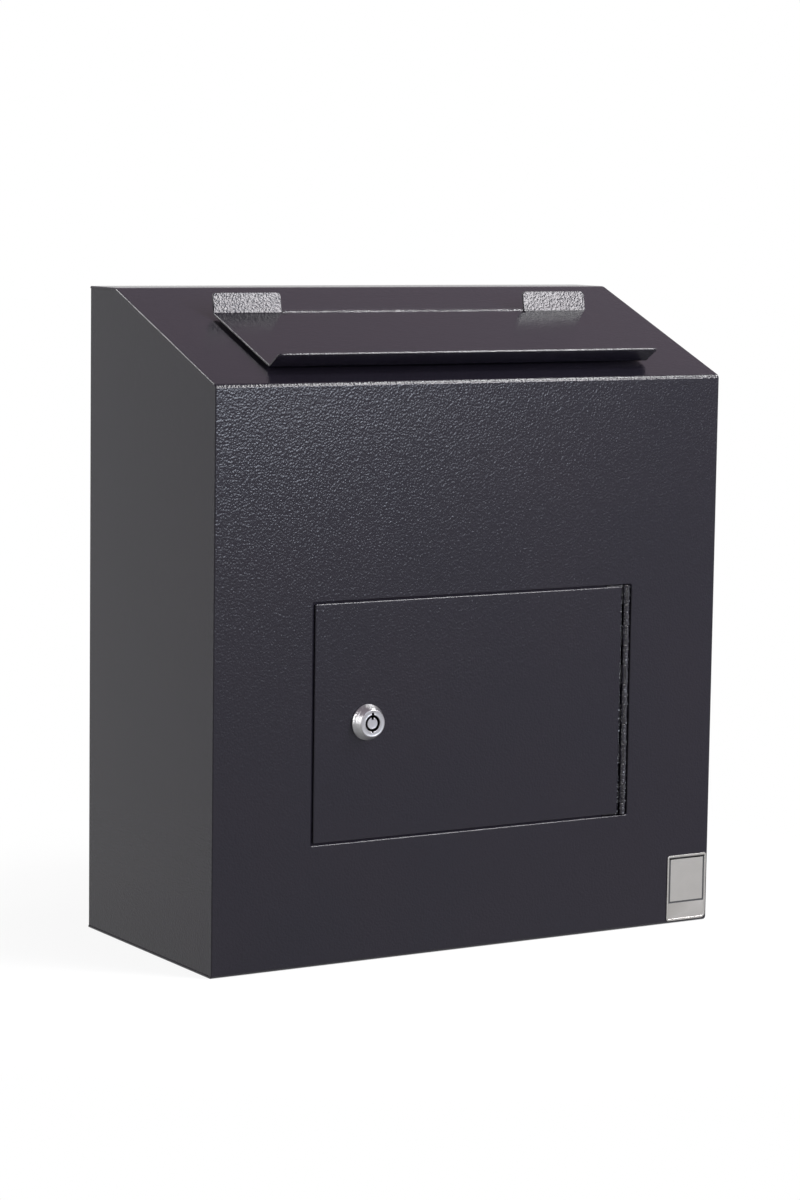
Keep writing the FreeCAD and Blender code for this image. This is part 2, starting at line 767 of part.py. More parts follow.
def make_name_plate():
    body = new_body("name_plate")
    left = s.case_width / 2 - s.plate_right_margin - s.plate_width
    put(body, left, front_y, s.plate_bottom_margin)
    sketch = new_sketch(body, "XZ_Plane")
    rectangle(sketch, 0, 0, s.plate_width, s.plate_height)
    pad(body, sketch, s.plate_thickness)
    face = new_sketch(body, "XZ_Plane", s.plate_thickness)
    inner = s.plate_border
    rectangle(face, inner, inner, s.plate_width - inner, s.plate_height - inner)
    pocket(body, face, s.plate_recess)
    middle_y = -s.plate_thickness / 2
    round_edges(body, s.plate_corner, [
        (x, middle_y, z) for x in (0, s.plate_width) for z in (0, s.plate_height)
    ])


def make_lock_housing():
    body = new_body("lock_housing")
    put(body, lock_x, front_y, lock_z)
    face = -s.lock_head_height
    bore = s.keyway_diameter / 2
    rear_bore = s.tail_diameter / 2 + s.plug_clearance
    shoulder = s.lock_body_length - s.lock_rear_wall
    face_radius = s.lock_face_diameter / 2
    base_radius = s.lock_base_diameter / 2
    sketch = new_sketch(body, "XY_Plane")
    outline(sketch, [
        (bore, face),
        (face_radius - s.lock_face_chamfer, face),
        (face_radius, face + s.lock_face_chamfer),
        (base_radius, -s.lock_base_rim),
        (base_radius, 0),
        (s.lock_thread_diameter / 2, 0),
        (s.lock_thread_diameter / 2, s.lock_body_length),
        (rear_bore, s.lock_body_length),
        (rear_bore, shoulder),
        (bore, shoulder),
    ])
    turn_solid(body, sketch)
    flats = new_sketch(body, "XZ_Plane")
    half = s.lock_flats / 2
    reach = s.lock_thread_diameter
    rectangle(flats, half, -reach, reach, reach)
    rectangle(flats, -reach, -reach, -half, reach)
    pocket(body, flats, s.lock_body_length)
    index = new_sketch(body, "XZ_Plane", s.lock_head_height)
    half_index = s.index_width / 2
    rectangle(index, -half_index, bore - s.index_run_in, half_index, bore + s.index_reach)
    pocket(body, index, s.index_depth)


def make_lock_plug():
    """The turning core: centre post, tumbler carrier and the tail that carries the cam."""
    body = new_body("lock_plug")
    put(body, lock_x, front_y, lock_z)
    face = -s.lock_head_height
    post = s.post_diameter / 2
    carrier = s.keyway_diameter / 2 - s.plug_clearance
    carrier_front = face + s.keyway_depth
    carrier_back = s.lock_body_length - s.lock_rear_wall - s.plug_clearance
    tail = s.tail_diameter / 2
    tail_back = s.lock_body_length + s.plug_clearance
    post_front = face + s.post_recess
    sketch = new_sketch(body, "XY_Plane")
    outline(sketch, [
        (0, post_front),
        (post - s.post_rim, post_front),
        (post, post_front + s.post_rim),
        (post, carrier_front),
        (carrier, carrier_front),
        (carrier, carrier_back),
        (tail, carrier_back),
        (tail, tail_back),
        (0, tail_back),
    ])
    turn_solid(body, sketch)
    cam_back = cam_front + s.cam_thickness
    square = new_sketch(body, "XZ_Plane", -cam_back)
    half = s.tail_square / 2
    rectangle(square, -half, -half, half, half)
    pad(body, square, cam_back - tail_back)
    thread = new_sketch(body, "XZ_Plane", -(s.lock_body_length + s.tail_length))
    circle(thread, 0, 0, s.tail_thread)
    pad(body, thread, s.tail_length - cam_back + s.lock_body_length)
    index = new_sketch(body, "XZ_Plane", -post_front)
    half_index = s.index_width / 2
    rectangle(index, -half_index, post - s.index_reach, half_index, post + s.index_run_in)
    pocket(body, index, s.index_depth - s.post_recess)
    hole = new_sketch(body, "XZ_Plane", -carrier_front)
    circle(hole, 0, s.tumbler_circle / 2, s.tumbler_diameter + s.tumbler_clearance * 2)
    drilled = pocket(body, hole, s.tumbler_length - s.tumbler_stand)
    holes = body.newObject("PartDesign::PolarPattern", "lock_plug_holes")
    holes.Originals = [drilled]
    holes.Axis = (hole, ["N_Axis"])
    holes.Angle = 360
    holes.Occurrences = TUMBLERS
    body.Tip = holes


def make_tumbler_pins():
    """The ring of key pins whose ends show at the bottom of the keyway."""
    pins = []
    front = front_y - s.lock_head_height + s.keyway_depth - s.tumbler_stand
    for number in range(TUMBLERS):
        angle = as_size(90 + 360 * number / TUMBLERS)
        pin = doc.addObject("Part::Cylinder", f"tumbler_pin_{number + 1}")
        pin.Placement = TO_THE_BACK
        bind(pin, "Radius", s.tumbler_diameter / 2)
        bind(pin, "Height", s.tumbler_length)
        radius = s.tumbler_circle / 2
        put(pin, lock_x + radius * cosine(angle), front, lock_z + radius * sine(angle))
        pins.append(pin)
    group = doc.addObject("Part::Compound", "tumbler_pins")
    group.Label = "tumbler_pins"
    group.Links = pins
    nodes.append(group)


def make_hex_nut(label, width, thickness, bore, depth):
    """A nut on the lock's axis whose near face is at depth behind the door's front face."""
    blank = doc.addObject("Part::Prism", f"{label}_blank")
    blank.Polygon = HEX_SIDES
    bind(blank, "Circumradius", width / root(as_size(3)))
    hole = doc.addObject("Part::Cylinder", f"{label}_hole")
    bind(hole, "Radius", bore / 2)
    for item in (blank, hole):
        item.Placement = TO_THE_BACK
        bind(item, "Height", thickness)
        put(item, lock_x, front_y + depth, lock_z)
    nut = doc.addObject("Part::Cut", label)
    nut.Label = label
    nut.Base = blank
    nut.Tool = hole
    nodes.append(nut)


def make_lock_washer():
    body = new_body("lock_washer")
    put(body, lock_x, front_y, lock_z)
    sketch = new_sketch(body, "XZ_Plane", -(s.wall + s.lock_washer_thickness))
    circle(sketch, 0, 0, s.lock_washer_diameter)
    pad(body, sketch, s.lock_washer_thickness)
    hole = new_sketch(body, "XZ_Plane", -s.wall)
    clear = s.lock_hole_clearance * 2
    flatted_circle(hole, as_size(0), as_size(0), s.lock_thread_diameter + clear, s.lock_flats + clear)
    pocket(body, hole, through(s.lock_washer_thickness))


def make_square_hole(body, depth, length):
    hole = new_sketch(body, "XZ_Plane", -depth)
    half = s.tail_square / 2 + s.cam_fit
    rectangle(hole, -half, -half, half, half)
    pocket(body, hole, length)


def make_cam_stop_washer():
    body = new_body("cam_stop_washer")
    put(body, lock_x, front_y, lock_z)
    near = s.lock_body_length + s.plug_clearance
    thickness = s.stop_washer_thickness - s.plug_clearance
    sketch = new_sketch(body, "XZ_Plane", -(near + thickness))
    circle(sketch, 0, 0, s.stop_washer_diameter)
    pad(body, sketch, thickness)
    make_square_hole(body, near, through(thickness))


def make_lock_cam():
    """At rest the cam hangs down; a quarter turn brings it behind the strike."""
    body = new_body("lock_cam")
    put(body, lock_x, front_y, lock_z)
    half = s.cam_width / 2
    sketch = new_sketch(body, "XZ_Plane", -(cam_front + s.cam_thickness))
    rectangle(sketch, -half, -cam_length, half, half)
    pad(body, sketch, s.cam_thickness)
    middle_y = cam_front + s.cam_thickness / 2
    round_edges(body, s.cam_hub_round, [(x, middle_y, half) for x in (-half, half)])
    round_edges(body, s.cam_tip_round, [(x, middle_y, -cam_length) for x in (-half, half)])
    make_square_hole(body, cam_front, through(s.cam_thickness))


def make_cam_washer():
    body = new_body("cam_spring_washer")
    put(body, lock_x, front_y, lock_z)
    near = cam_front + s.cam_thickness
    sketch = new_sketch(body, "XZ_Plane", -(near + s.cam_washer_thickness))
    circle(sketch, 0, 0, s.cam_washer_diameter)
    circle(sketch, 0, 0, s.tail_thread + s.cam_fit * 2)
    pad(body, sketch, s.cam_washer_thickness)


def check_document():
    """Stops on any object that failed to rebuild or any node without a sound solid."""
    doc.recompute()
    for item in doc.Objects:
        if "Invalid" in item.State or "Error" in item.State:
            raise RuntimeError(f"{item.Label} failed: {item.State}")
    for node in nodes:
        if node.Shape.isNull() or not node.Shape.isValid() or not node.Shape.Solids:
            raise RuntimeError(f"{node.Label} has no sound solid")


make_case_wrap()
make_side_plate("left_side_plate", -side_outer_x)
make_side_plate("right_side_plate", side_inner_x)
make_back_pan()
make_stop("door_stop_top", opening_top - s.stop_overlap)
make_stop("door_stop_bottom", s.opening_bottom - s.stop_weld_lap)
make_strike()
make_front_baffle()
make_rear_baffle()
make_name_plate()
make_door_panel()
make_door_stiffener()
make_door_hinge()
make_flap_plate()
make_flap_hinge()
make_lock_housing()
make_lock_washer()
make_hex_nut("lock_nut", s.lock_nut_width, s.lock_nut_thickness,
             s.lock_thread_diameter + s.lock_hole_clearance * 2, s.wall + s.lock_washer_thickness)
make_lock_plug()
make_tumbler_pins()
make_cam_stop_washer()
make_lock_cam()
make_cam_washer()
make_hex_nut("cam_nut", s.cam_nut_width, s.cam_nut_thickness,
             s.tail_thread + s.cam_fit * 2, cam_front + s.cam_thickness + s.cam_washer_thickness)
check_document()

os.makedirs("parts", exist_ok=True)
for node in nodes:
    node.Shape.exportStep(f"parts/{node.Label}.step")
    box = node.Shape.BoundBox
    print(f"{node.Label}: {len(node.Shape.Solids)} solid, {node.Shape.Volume:.0f} mm3, "
          f"x {box.XMin:.2f}..{box.XMax:.2f}, y {box.YMin:.2f}..{box.YMax:.2f}, "
          f"z {box.ZMin:.2f}..{box.ZMax:.2f}")
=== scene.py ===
"""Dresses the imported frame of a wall-mounted drop box and stages it for a still. For Blender 4.5.

Metres. +Z is up, the front faces -Y and +X is to the right seen from the front. The script loads the frame,
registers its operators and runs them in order.
"""
import bmesh
import bpy
import math
from bpy.props import FloatProperty, FloatVectorProperty, IntProperty, PointerProperty
from bpy.types import Operator, Panel, PropertyGroup
from contextlib import contextmanager
from mathutils import Matrix, Vector


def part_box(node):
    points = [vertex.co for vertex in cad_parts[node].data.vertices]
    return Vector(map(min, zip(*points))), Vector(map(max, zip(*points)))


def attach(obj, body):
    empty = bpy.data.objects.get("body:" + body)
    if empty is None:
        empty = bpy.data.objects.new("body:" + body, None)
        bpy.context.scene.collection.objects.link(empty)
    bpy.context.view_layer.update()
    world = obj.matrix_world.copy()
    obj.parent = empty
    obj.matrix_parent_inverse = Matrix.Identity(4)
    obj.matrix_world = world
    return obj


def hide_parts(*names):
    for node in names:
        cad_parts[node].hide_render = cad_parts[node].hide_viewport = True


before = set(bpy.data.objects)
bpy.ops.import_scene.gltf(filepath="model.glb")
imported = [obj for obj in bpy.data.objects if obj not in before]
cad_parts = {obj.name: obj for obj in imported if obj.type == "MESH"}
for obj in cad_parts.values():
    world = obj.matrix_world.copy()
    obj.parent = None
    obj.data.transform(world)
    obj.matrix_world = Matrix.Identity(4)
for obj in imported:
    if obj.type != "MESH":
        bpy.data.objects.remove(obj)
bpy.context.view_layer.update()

bl_info = {
    "name": "Drop Box",
    "version": (1, 0, 0),
    "blender": (4, 5, 0),
    "location": "3D View > Sidebar > Drop Box",
    "description": "Builds the sheet metal, hinges, lock and finishes of a wall-mounted drop box",
    "category": "Object",
}

MM = 0.001
SAME_PLACE = 1e-6
NEAR = 1e-5
STRAIGHT = 0.999
FOLD_STEPS = 8
CORNER_STEPS = 6
ROUND_STEPS = 96
KNUCKLE_STEPS = 26
EDGE_STEPS = 3
ROLL_STEPS = 5


def length(name, description, millimetres):
    return FloatProperty(name=name, description=description, default=millimetres * MM,
                         unit="LENGTH", precision=5)


def turn(name, description, degrees):
    return FloatProperty(name=name, description=description, default=math.radians(degrees),
                         unit="ROTATION")


def tint(name, description, *colour):
    return FloatVectorProperty(name=name, description=description, default=colour, subtype="COLOR",
                               size=3, min=0, max=1)


def brightness(name, description, level):
    return FloatProperty(name=name, description=description, default=level, min=0)


class CaseSizes(PropertyGroup):
    """The bent case sheet and its two openings"""
    wall: length("Wall", "Thickness of the case's sheet", 1.5)
    slope_drop: length("Slope drop", "How far the slope falls from the top to the front", 52.5)
    top_depth: length("Top depth", "Depth of the flat top", 34.0)
    base_bend: length("Base bend", "Outer radius where the bottom turns up to the front", 3.0)
    front_bend: length("Front bend", "Outer radius where the front meets the slope", 3.0)
    top_bend: length("Top bend", "Outer radius where the slope meets the top", 9.0)
    door_left: length("Opening left", "Left edge of the door opening", -114.8)
    door_right: length("Opening right", "Right edge of the door opening", 117.3)
    door_bottom: length("Opening bottom", "Lower edge of the door opening", 74.9)
    door_top: length("Opening top", "Upper edge of the door opening", 222.6)
    door_corner: length("Opening corner", "Corner radius of the opening and the door", 1.0)
    slot_half: length("Slot half width", "Half the width of the drop slot", 115.0)
    slot_start: length("Slot start", "Front edge of the slot, measured up the slope", 34.0)
    slot_end: length("Slot end", "Rear edge of the slot, measured up the slope", 78.0)
    slot_corner: length("Slot corner", "Corner radius of the slot", 5.0)
    rolled: length("Rolled edge", "Rounding of the sheet's outer edges that the coat makes wider", 0.8)
    edge: length("Edge", "Rounding of the other cut edges", 0.2)


class FlapSizes(PropertyGroup):
    """The drop flap, measured up the slope and out from its face"""
    half_width: length("Half width", "Half the flap's width", 136.9)
    start: length("Start", "Where the lip folds up", 20.1)
    end: length("End", "Where the tabs fold up", 94.7)
    gap: length("Gap", "Room under the flap for the hinge leaves", 1.8)
    bend: length("Bend", "Inner radius of the lip's and the tabs' folds", 0.8)
    lip_length: length("Lip length", "Length of the lip along its face", 13.9)
    lip_turn: turn("Lip angle", "How far the lip is folded up", 53.8)
    lip_corner: length("Lip corner", "Corner radius of the lip", 2.0)
    tab_width: length("Tab width", "Width of each stop tab", 47.6)
    tab_length: length("Tab length", "Length of each stop tab along its face", 12.6)
    tab_turn: turn("Tab angle", "How far the tabs are folded up", 59.0)
    tab_corner: length("Tab corner", "Corner radius of the tabs", 2.5)
    relief_width: length("Relief width", "Width of the notch beside each tab", 1.2)
    relief_depth: length("Relief depth", "Depth of the notch beside each tab", 2.6)
    edge: length("Edge", "Rounding of the flap's cut edges", 0.45)


class HingeSizes(PropertyGroup):
    """The rolled continuous hinges of door and flap"""
    barrel: length("Barrel", "Diameter of the rolled barrel", 3.8)
    pin: length("Pin", "Diameter of the hinge pins", 2.0)
    leaf: length("Leaf", "Thickness of a leaf", 0.8)
    reach: length("Reach", "From the pin's line to a leaf's far edge", 14.0)
    pitch: length("Pitch", "From one knuckle to the next", 12.7)
    gap: length("Gap", "Room between two knuckles", 0.3)
    clearance: length("Clearance", "Room between a barrel and the other leaf's edge", 0.3)
    flap_leaf_lift: length("Flap leaf lift", "Height of the flap's own leaf above the slope", 1.0)
    edge: length("Edge", "Rounding of the leaves' and knuckles' edges", 0.14)


class LockSizes(PropertyGroup):
    """The tubular-key cam lock, measured out from the door's face"""
    head: length("Head height", "How far the head stands out", 6.6)
    base: length("Base", "Diameter of the head at the door", 22.0)
    rim: length("Rim", "Straight part of the head at the door", 0.8)
    face: length("Face", "Diameter of the head's face", 17.1)
    chamfer: length("Chamfer", "Chamfer round the face", 0.4)
    thread: length("Thread", "Diameter of the threaded body", 19.0)
    thread_pitch: length("Thread pitch", "From one thread to the next", 1.0)
    thread_depth: length("Thread depth", "Depth of the thread", 0.45)
    flats: length("Flats", "Width across the body's flats", 16.0)
    body: length("Body", "Length of the body behind the door's face", 18.0)
    rear_wall: length("Rear wall", "Thickness of the body's rear wall", 2.0)
    keyway: length("Keyway", "Outer diameter of the ring keyway", 10.0)
    keyway_depth: length("Keyway depth", "Depth of the ring keyway", 5.0)
    post: length("Post", "Diameter of the centre post", 7.3)
    post_recess: length("Post recess", "How far the post stays behind the face", 0.4)
    index: length("Index", "Width of the index notch", 1.4)
    index_reach: length("Index reach", "How far the index notch cuts in", 1.5)
    index_depth: length("Index depth", "Depth of the index notch", 3.5)
    tail: length("Tail", "Diameter of the core's rear end", 7.8)
    tail_square: length("Tail square", "Width of the square that turns the cam", 5.5)
    tail_thread: length("Tail thread", "Diameter of the thread for the cam nut", 5.0)
    tail_length: length("Tail length", "Length of the tail behind the body", 10.5)
    square_length: length("Square length", "Length of the square behind the body", 3.0)
    key_pin: length("Key pin", "Diameter of the pins in the keyway", 1.1)
    key_pin_circle: length("Key pin circle", "Diameter of the ring that the pins stand on", 8.65)
    key_pin_stand: length("Key pin stand", "How far the pins stand into the keyway", 1.5)
    key_pins: IntProperty(name="Key pins", description="Number of pins in the keyway", default=7)


class PlateSizes(PropertyGroup):
    """The small blank plate on the front"""
    corner: length("Corner", "Corner radius of the plate", 1.6)
    low_corner: length("Low corner", "Corner radius at the lower right", 3.2)
    rim: length("Rim", "Width of the bright rim", 1.15)
    recess: length("Recess", "How far the field lies below the rim", 0.12)
    line: length("Line", "Width of the dark frame line", 1.15)
    line_margin: length("Line margin", "Room between rim and frame line", 0.15)
    line_groove: length("Line groove", "Depth of the frame line's groove", 0.05)
    foot: length("Foot", "From the plate's lower edge up to the frame line", 11.4)
    edge: length("Edge", "Rounding of the plate's edge", 0.15)


class Colours(PropertyGroup):
    """The finishes' colours"""
    coat_cool: tint("Coat, cool", "Bluish part of the charcoal powder coat", 0.0066, 0.0063, 0.0102)
    coat_warm: tint("Coat, warm", "Warmer part of the charcoal powder coat", 0.0082, 0.0066, 0.0102)
    chrome: tint("Lock collar", "Bright steel of the lock's tapered collar", 0.68, 0.68, 0.69)
    face: tint("Lock face", "Satin steel of the lock's face", 0.29, 0.285, 0.295)
    plug: tint("Lock core", "Steel of the lock's turning core", 0.33, 0.325, 0.34)
    zinc: tint("Zinc", "Plated fittings", 0.52, 0.53, 0.52)
    pin: tint("Hinge pin", "Bare steel of the hinge pins", 0.45, 0.44, 0.43)
    silver: tint("Plate", "Satin field of the blank plate", 0.29, 0.28, 0.265)
    enamel: tint("Frame line", "Dark enamel of the plate's frame line", 0.012, 0.012, 0.013)
    floor: tint("Floor", "Pale floor", 0.80, 0.80, 0.80)


class StageSizes(PropertyGroup):
    """Camera, lamps and floor"""
    camera_place: FloatVectorProperty(
        name="Camera place", description="Where the camera stands", subtype="TRANSLATION",
        unit="LENGTH", default=(-1.1282, -1.8381, 0.4684), precision=4)
    camera_heading: turn("Camera heading", "Turn from straight ahead towards the right", 31.457)
    camera_tilt: turn("Camera tilt", "Tilt above the level", -6.851)
    camera_roll: turn("Camera roll", "Roll of the picture", 0.813)
    camera_lens: FloatProperty(name="Lens", description="Focal length", default=102.59, unit="CAMERA")
    key_light: brightness("Key", "Brightness of the softbox at the front right", 58.0)
    front_light: brightness("Front", "Brightness of the softbox at the front", 32.0)
    high_light: brightness("High", "Brightness of the two small softboxes above the key", 56.0)
    side_light: brightness("Side", "Brightness of the strip at the left", 17.0)
    over_light: brightness("Over", "Brightness of the lamp above the right", 36.0)
    rim_light: brightness("Rim", "Brightness of the strip behind", 24.0)
    key_tint: tint("Key tint", "Colour of the key", 1.0, 0.97, 1.0)
    front_tint: tint("Front tint", "Colour of the front softbox", 0.80, 0.87, 1.0)
    air_light: brightness("Air", "Light from all round that a matt surface gets", 0.08)
    ceiling: tint("Ceiling", "The dim ceiling over the white backdrop", 0.56, 0.47, 0.54)


def settings(part):
    return getattr(bpy.context.scene, f"drop_box_{part}")


# Modelling by hand: selections, edit mode and finished pieces

def clear_selection():
    bpy.ops.object.select_all(action="DESELECT")
    bpy.context.view_layer.objects.active = None


def activate(piece):
    clear_selection()
    piece.select_set(True)
    bpy.context.view_layer.objects.active = piece


def settle(piece):
    """Puts the piece's place, turn and size into its mesh."""
    activate(piece)
    bpy.ops.object.transform_apply(location=True, rotation=True, scale=True)
    return piece


@contextmanager
def editing(piece):
    """Edit mode on this piece alone."""
    activate(piece)
    bpy.ops.object.mode_set(mode="EDIT")
    yield
    bpy.ops.object.mode_set(mode="OBJECT")


def pick(kind, test):
    """Selects the verts, edges or faces of the piece in edit mode that pass the test."""
    bpy.ops.mesh.select_mode(type={"verts": "VERT", "edges": "EDGE", "faces": "FACE"}[kind])
    bpy.ops.mesh.select_all(action="DESELECT")
    mesh = bpy.context.edit_object.data
    work = bmesh.from_edit_mesh(mesh)
    chosen = [part for part in getattr(work, kind) if test(part)]
    if not chosen:
        raise RuntimeError(f"{mesh.name}: no {kind} there")
    for part in chosen:
        part.select_set(True)
    work.select_flush_mode()
    bmesh.update_edit_mesh(mesh)


def pick_all():
    bpy.ops.mesh.select_all(action="SELECT")


def middle(part):
    """The middle of a vertex, an edge or a face."""
    if isinstance(part, bmesh.types.BMVert):
        return part.co
    return sum((vert.co for vert in part.verts), Vector()) / len(part.verts)


def level(axis, height):
    """Passes what lies at one height along an axis."""
    return lambda part: abs(middle(part)[axis] - height) < NEAR


def runs_along(axis):
    """Passes straight edges that run along an axis."""
    return lambda edge: abs((edge.verts[1].co - edge.verts[0].co).normalized()[axis]) > STRAIGHT


def slice_at(place, normal, **options):
    pick_all()
    bpy.ops.mesh.bisect(plane_co=place, plane_no=normal, threshold=SAME_PLACE, **options)


def round_edges(radius, test, turned=math.pi / 2, steps=CORNER_STEPS):
    """Rounds the chosen edges; turned is the angle through which the surface turns there."""
    pick("edges", test)
    bpy.ops.mesh.bevel(offset=radius * math.tan(turned / 2), segments=steps, affect="EDGES",
                       clamp_overlap=False)


def round_tips(radius, test):
    pick("verts", test)
    bpy.ops.mesh.bevel(offset=radius, segments=CORNER_STEPS, affect="VERTICES", clamp_overlap=False)


def draw_out(x, y, z):
    """Extrudes the selected edges by one step."""
    bpy.ops.mesh.extrude_edges_move(TRANSFORM_OT_translate={"value": (x, y, z)})


def face_along(direction):
    """Makes all faces agree, with the largest one looking along the direction."""
    pick_all()
    bpy.ops.mesh.normals_make_consistent(inside=False)
    work = bmesh.from_edit_mesh(bpy.context.edit_object.data)
    largest = max(work.faces, key=lambda face: face.calc_area())
    if largest.normal.dot(Vector(direction)) < 0:
        bpy.ops.mesh.flip_normals()


def close_up():
    """Merges doubles and turns all faces outwards."""
    pick_all()
    bpy.ops.mesh.remove_doubles(threshold=SAME_PLACE)
    bpy.ops.mesh.normals_make_consistent(inside=False)


def named(name):
    piece = bpy.context.object
    piece.name = name
    piece.data.name = name
    return settle(piece)


def new_block(name, low, high):
    clear_selection()
    low = Vector(low)
    high = Vector(high)
    bpy.ops.mesh.primitive_cube_add(size=1, location=(low + high) / 2, scale=high - low)
    return named(name)


def rounded_block(name, low, high, axis, radius):
    piece = new_block(name, low, high)
    with editing(piece):
        round_edges(radius, runs_along(axis))
    return piece


def new_disc(name, radius, low, high, steps=ROUND_STEPS):
    clear_selection()
    bpy.ops.mesh.primitive_cylinder_add(vertices=steps, radius=radius, depth=high - low,
                                        location=(0, 0, (low + high) / 2))
    return named(name)


def new_sheet(name, left, near, right, far, height, down=False):
    """A flat sheet at one height, to be folded and thickened."""
    clear_selection()
    bpy.ops.mesh.primitive_plane_add(
        size=1, location=((left + right) / 2, (near + far) / 2, height),
        rotation=(math.pi if down else 0, 0, 0))
    piece = bpy.context.object
    piece.scale = (right - left, far - near, 1)
    return named(name)


def modify(piece, kind, **options):
    """Adds one modifier, sets it and applies it."""
    activate(piece)
    modifier = piece.modifiers.new(kind.title(), kind)
    for name, value in options.items():
        setattr(modifier, name, value)
    bpy.ops.object.modifier_apply(modifier=modifier.name)


def combine(piece, other, operation):
    before = len(piece.data.vertices)
    modify(piece, "BOOLEAN", operation=operation, object=other, solver="EXACT")
    if len(piece.data.vertices) == before:
        raise RuntimeError(f"{other.name} doesn't touch {piece.name}")
    bpy.data.objects.remove(other)


def cut(piece, *cutters):
    for cutter in cutters:
        combine(piece, cutter, "DIFFERENCE")


def thicken(piece, thickness):
    """Gives a sheet its thickness, away from the side that its faces look to."""
    modify(piece, "SOLIDIFY", thickness=thickness, offset=-1, use_even_offset=True,
           use_quality_normals=True)


def soften(piece, width, sharpest=28):
    """Rounds every cut edge a little and smooths what is round."""
    limit = math.radians(sharpest)
    modify(piece, "BEVEL", width=width, segments=EDGE_STEPS, limit_method="ANGLE", angle_limit=limit,
           use_clamp_overlap=False)
    smooth(piece, limit)


def smooth(piece, limit):
    activate(piece)
    bpy.ops.object.shade_smooth_by_angle(angle=limit, keep_sharp_edges=False)
    modify(piece, "WEIGHTED_NORMAL", keep_sharp=True)


def join(name, pieces):
    clear_selection()
    for piece in pieces:
        piece.select_set(True)
    bpy.context.view_layer.objects.active = pieces[0]
    bpy.ops.object.join()
    return named(name)


def hand_over(piece, body, material, slot, *nodes):
    """Finishes a piece: what it is made of, what it moves with and which nodes it stands for."""
    piece.data.materials.clear()
    piece.data.materials.append(material)
    register_piece(piece, body, slot, *nodes)


def register_piece(piece, body, slot, *nodes):
    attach(piece, body)
    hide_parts(*nodes)


# Places that several pieces share, read from the frame

def slope_angle():
    case = settings("case")
    low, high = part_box("case_wrap")
    run = high.y - low.y - case.top_depth
    return math.atan2(case.slope_drop, run)


def front_corner():
    """Where the front's face and the slope's face would meet in a sharp edge."""
    low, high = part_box("case_wrap")
    return Vector((0, low.y, high.z - settings("case").slope_drop))


def slope_normal():
    return Vector((0, -math.sin(slope_angle()), math.cos(slope_angle())))


def onto_slope(piece):
    """Turns a piece made flat at the origin onto the case's slope."""
    piece.location = front_corner()
    piece.rotation_euler = (slope_angle(), 0, 0)
    return settle(piece)


def lock_centre():
    low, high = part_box("lock_housing")
    return Vector(((low.x + high.x) / 2, front_corner().y, (low.z + high.z) / 2))


def onto_door(piece):
    """Turns a piece made upright at the origin onto the lock's axis, with its top to the front."""
    piece.location = lock_centre()
    piece.rotation_euler = (math.pi / 2, 0, 0)
    return settle(piece)


# Finishes

class Value:
    """One output of a shader node, so that sums on it add Math nodes."""

    def __init__(self, shader, socket):
        self.shader = shader
        self.socket = socket

    def maths(self, operation, *others):
        sockets = {number: other for number, other in enumerate((self, *others))}
        return self.shader.node("ShaderNodeMath", {"operation": operation}, sockets)

    def __add__(self, other):
        return self.maths("ADD", other)

    def __sub__(self, other):
        return self.maths("SUBTRACT", other)

    def __mul__(self, other):
        return self.maths("MULTIPLY", other)

    def __rsub__(self, other):
        return self.shader.node("ShaderNodeMath", {"operation": "SUBTRACT"}, {0: other, 1: self})

    __radd__ = __add__
    __rmul__ = __mul__

    def larger(self, other):
        return self.maths("MAXIMUM", other)

    def below(self, limit):
        return self.maths("LESS_THAN", limit)

    def output(self, name):
        return Value(self.shader, self.socket.node.outputs[name])


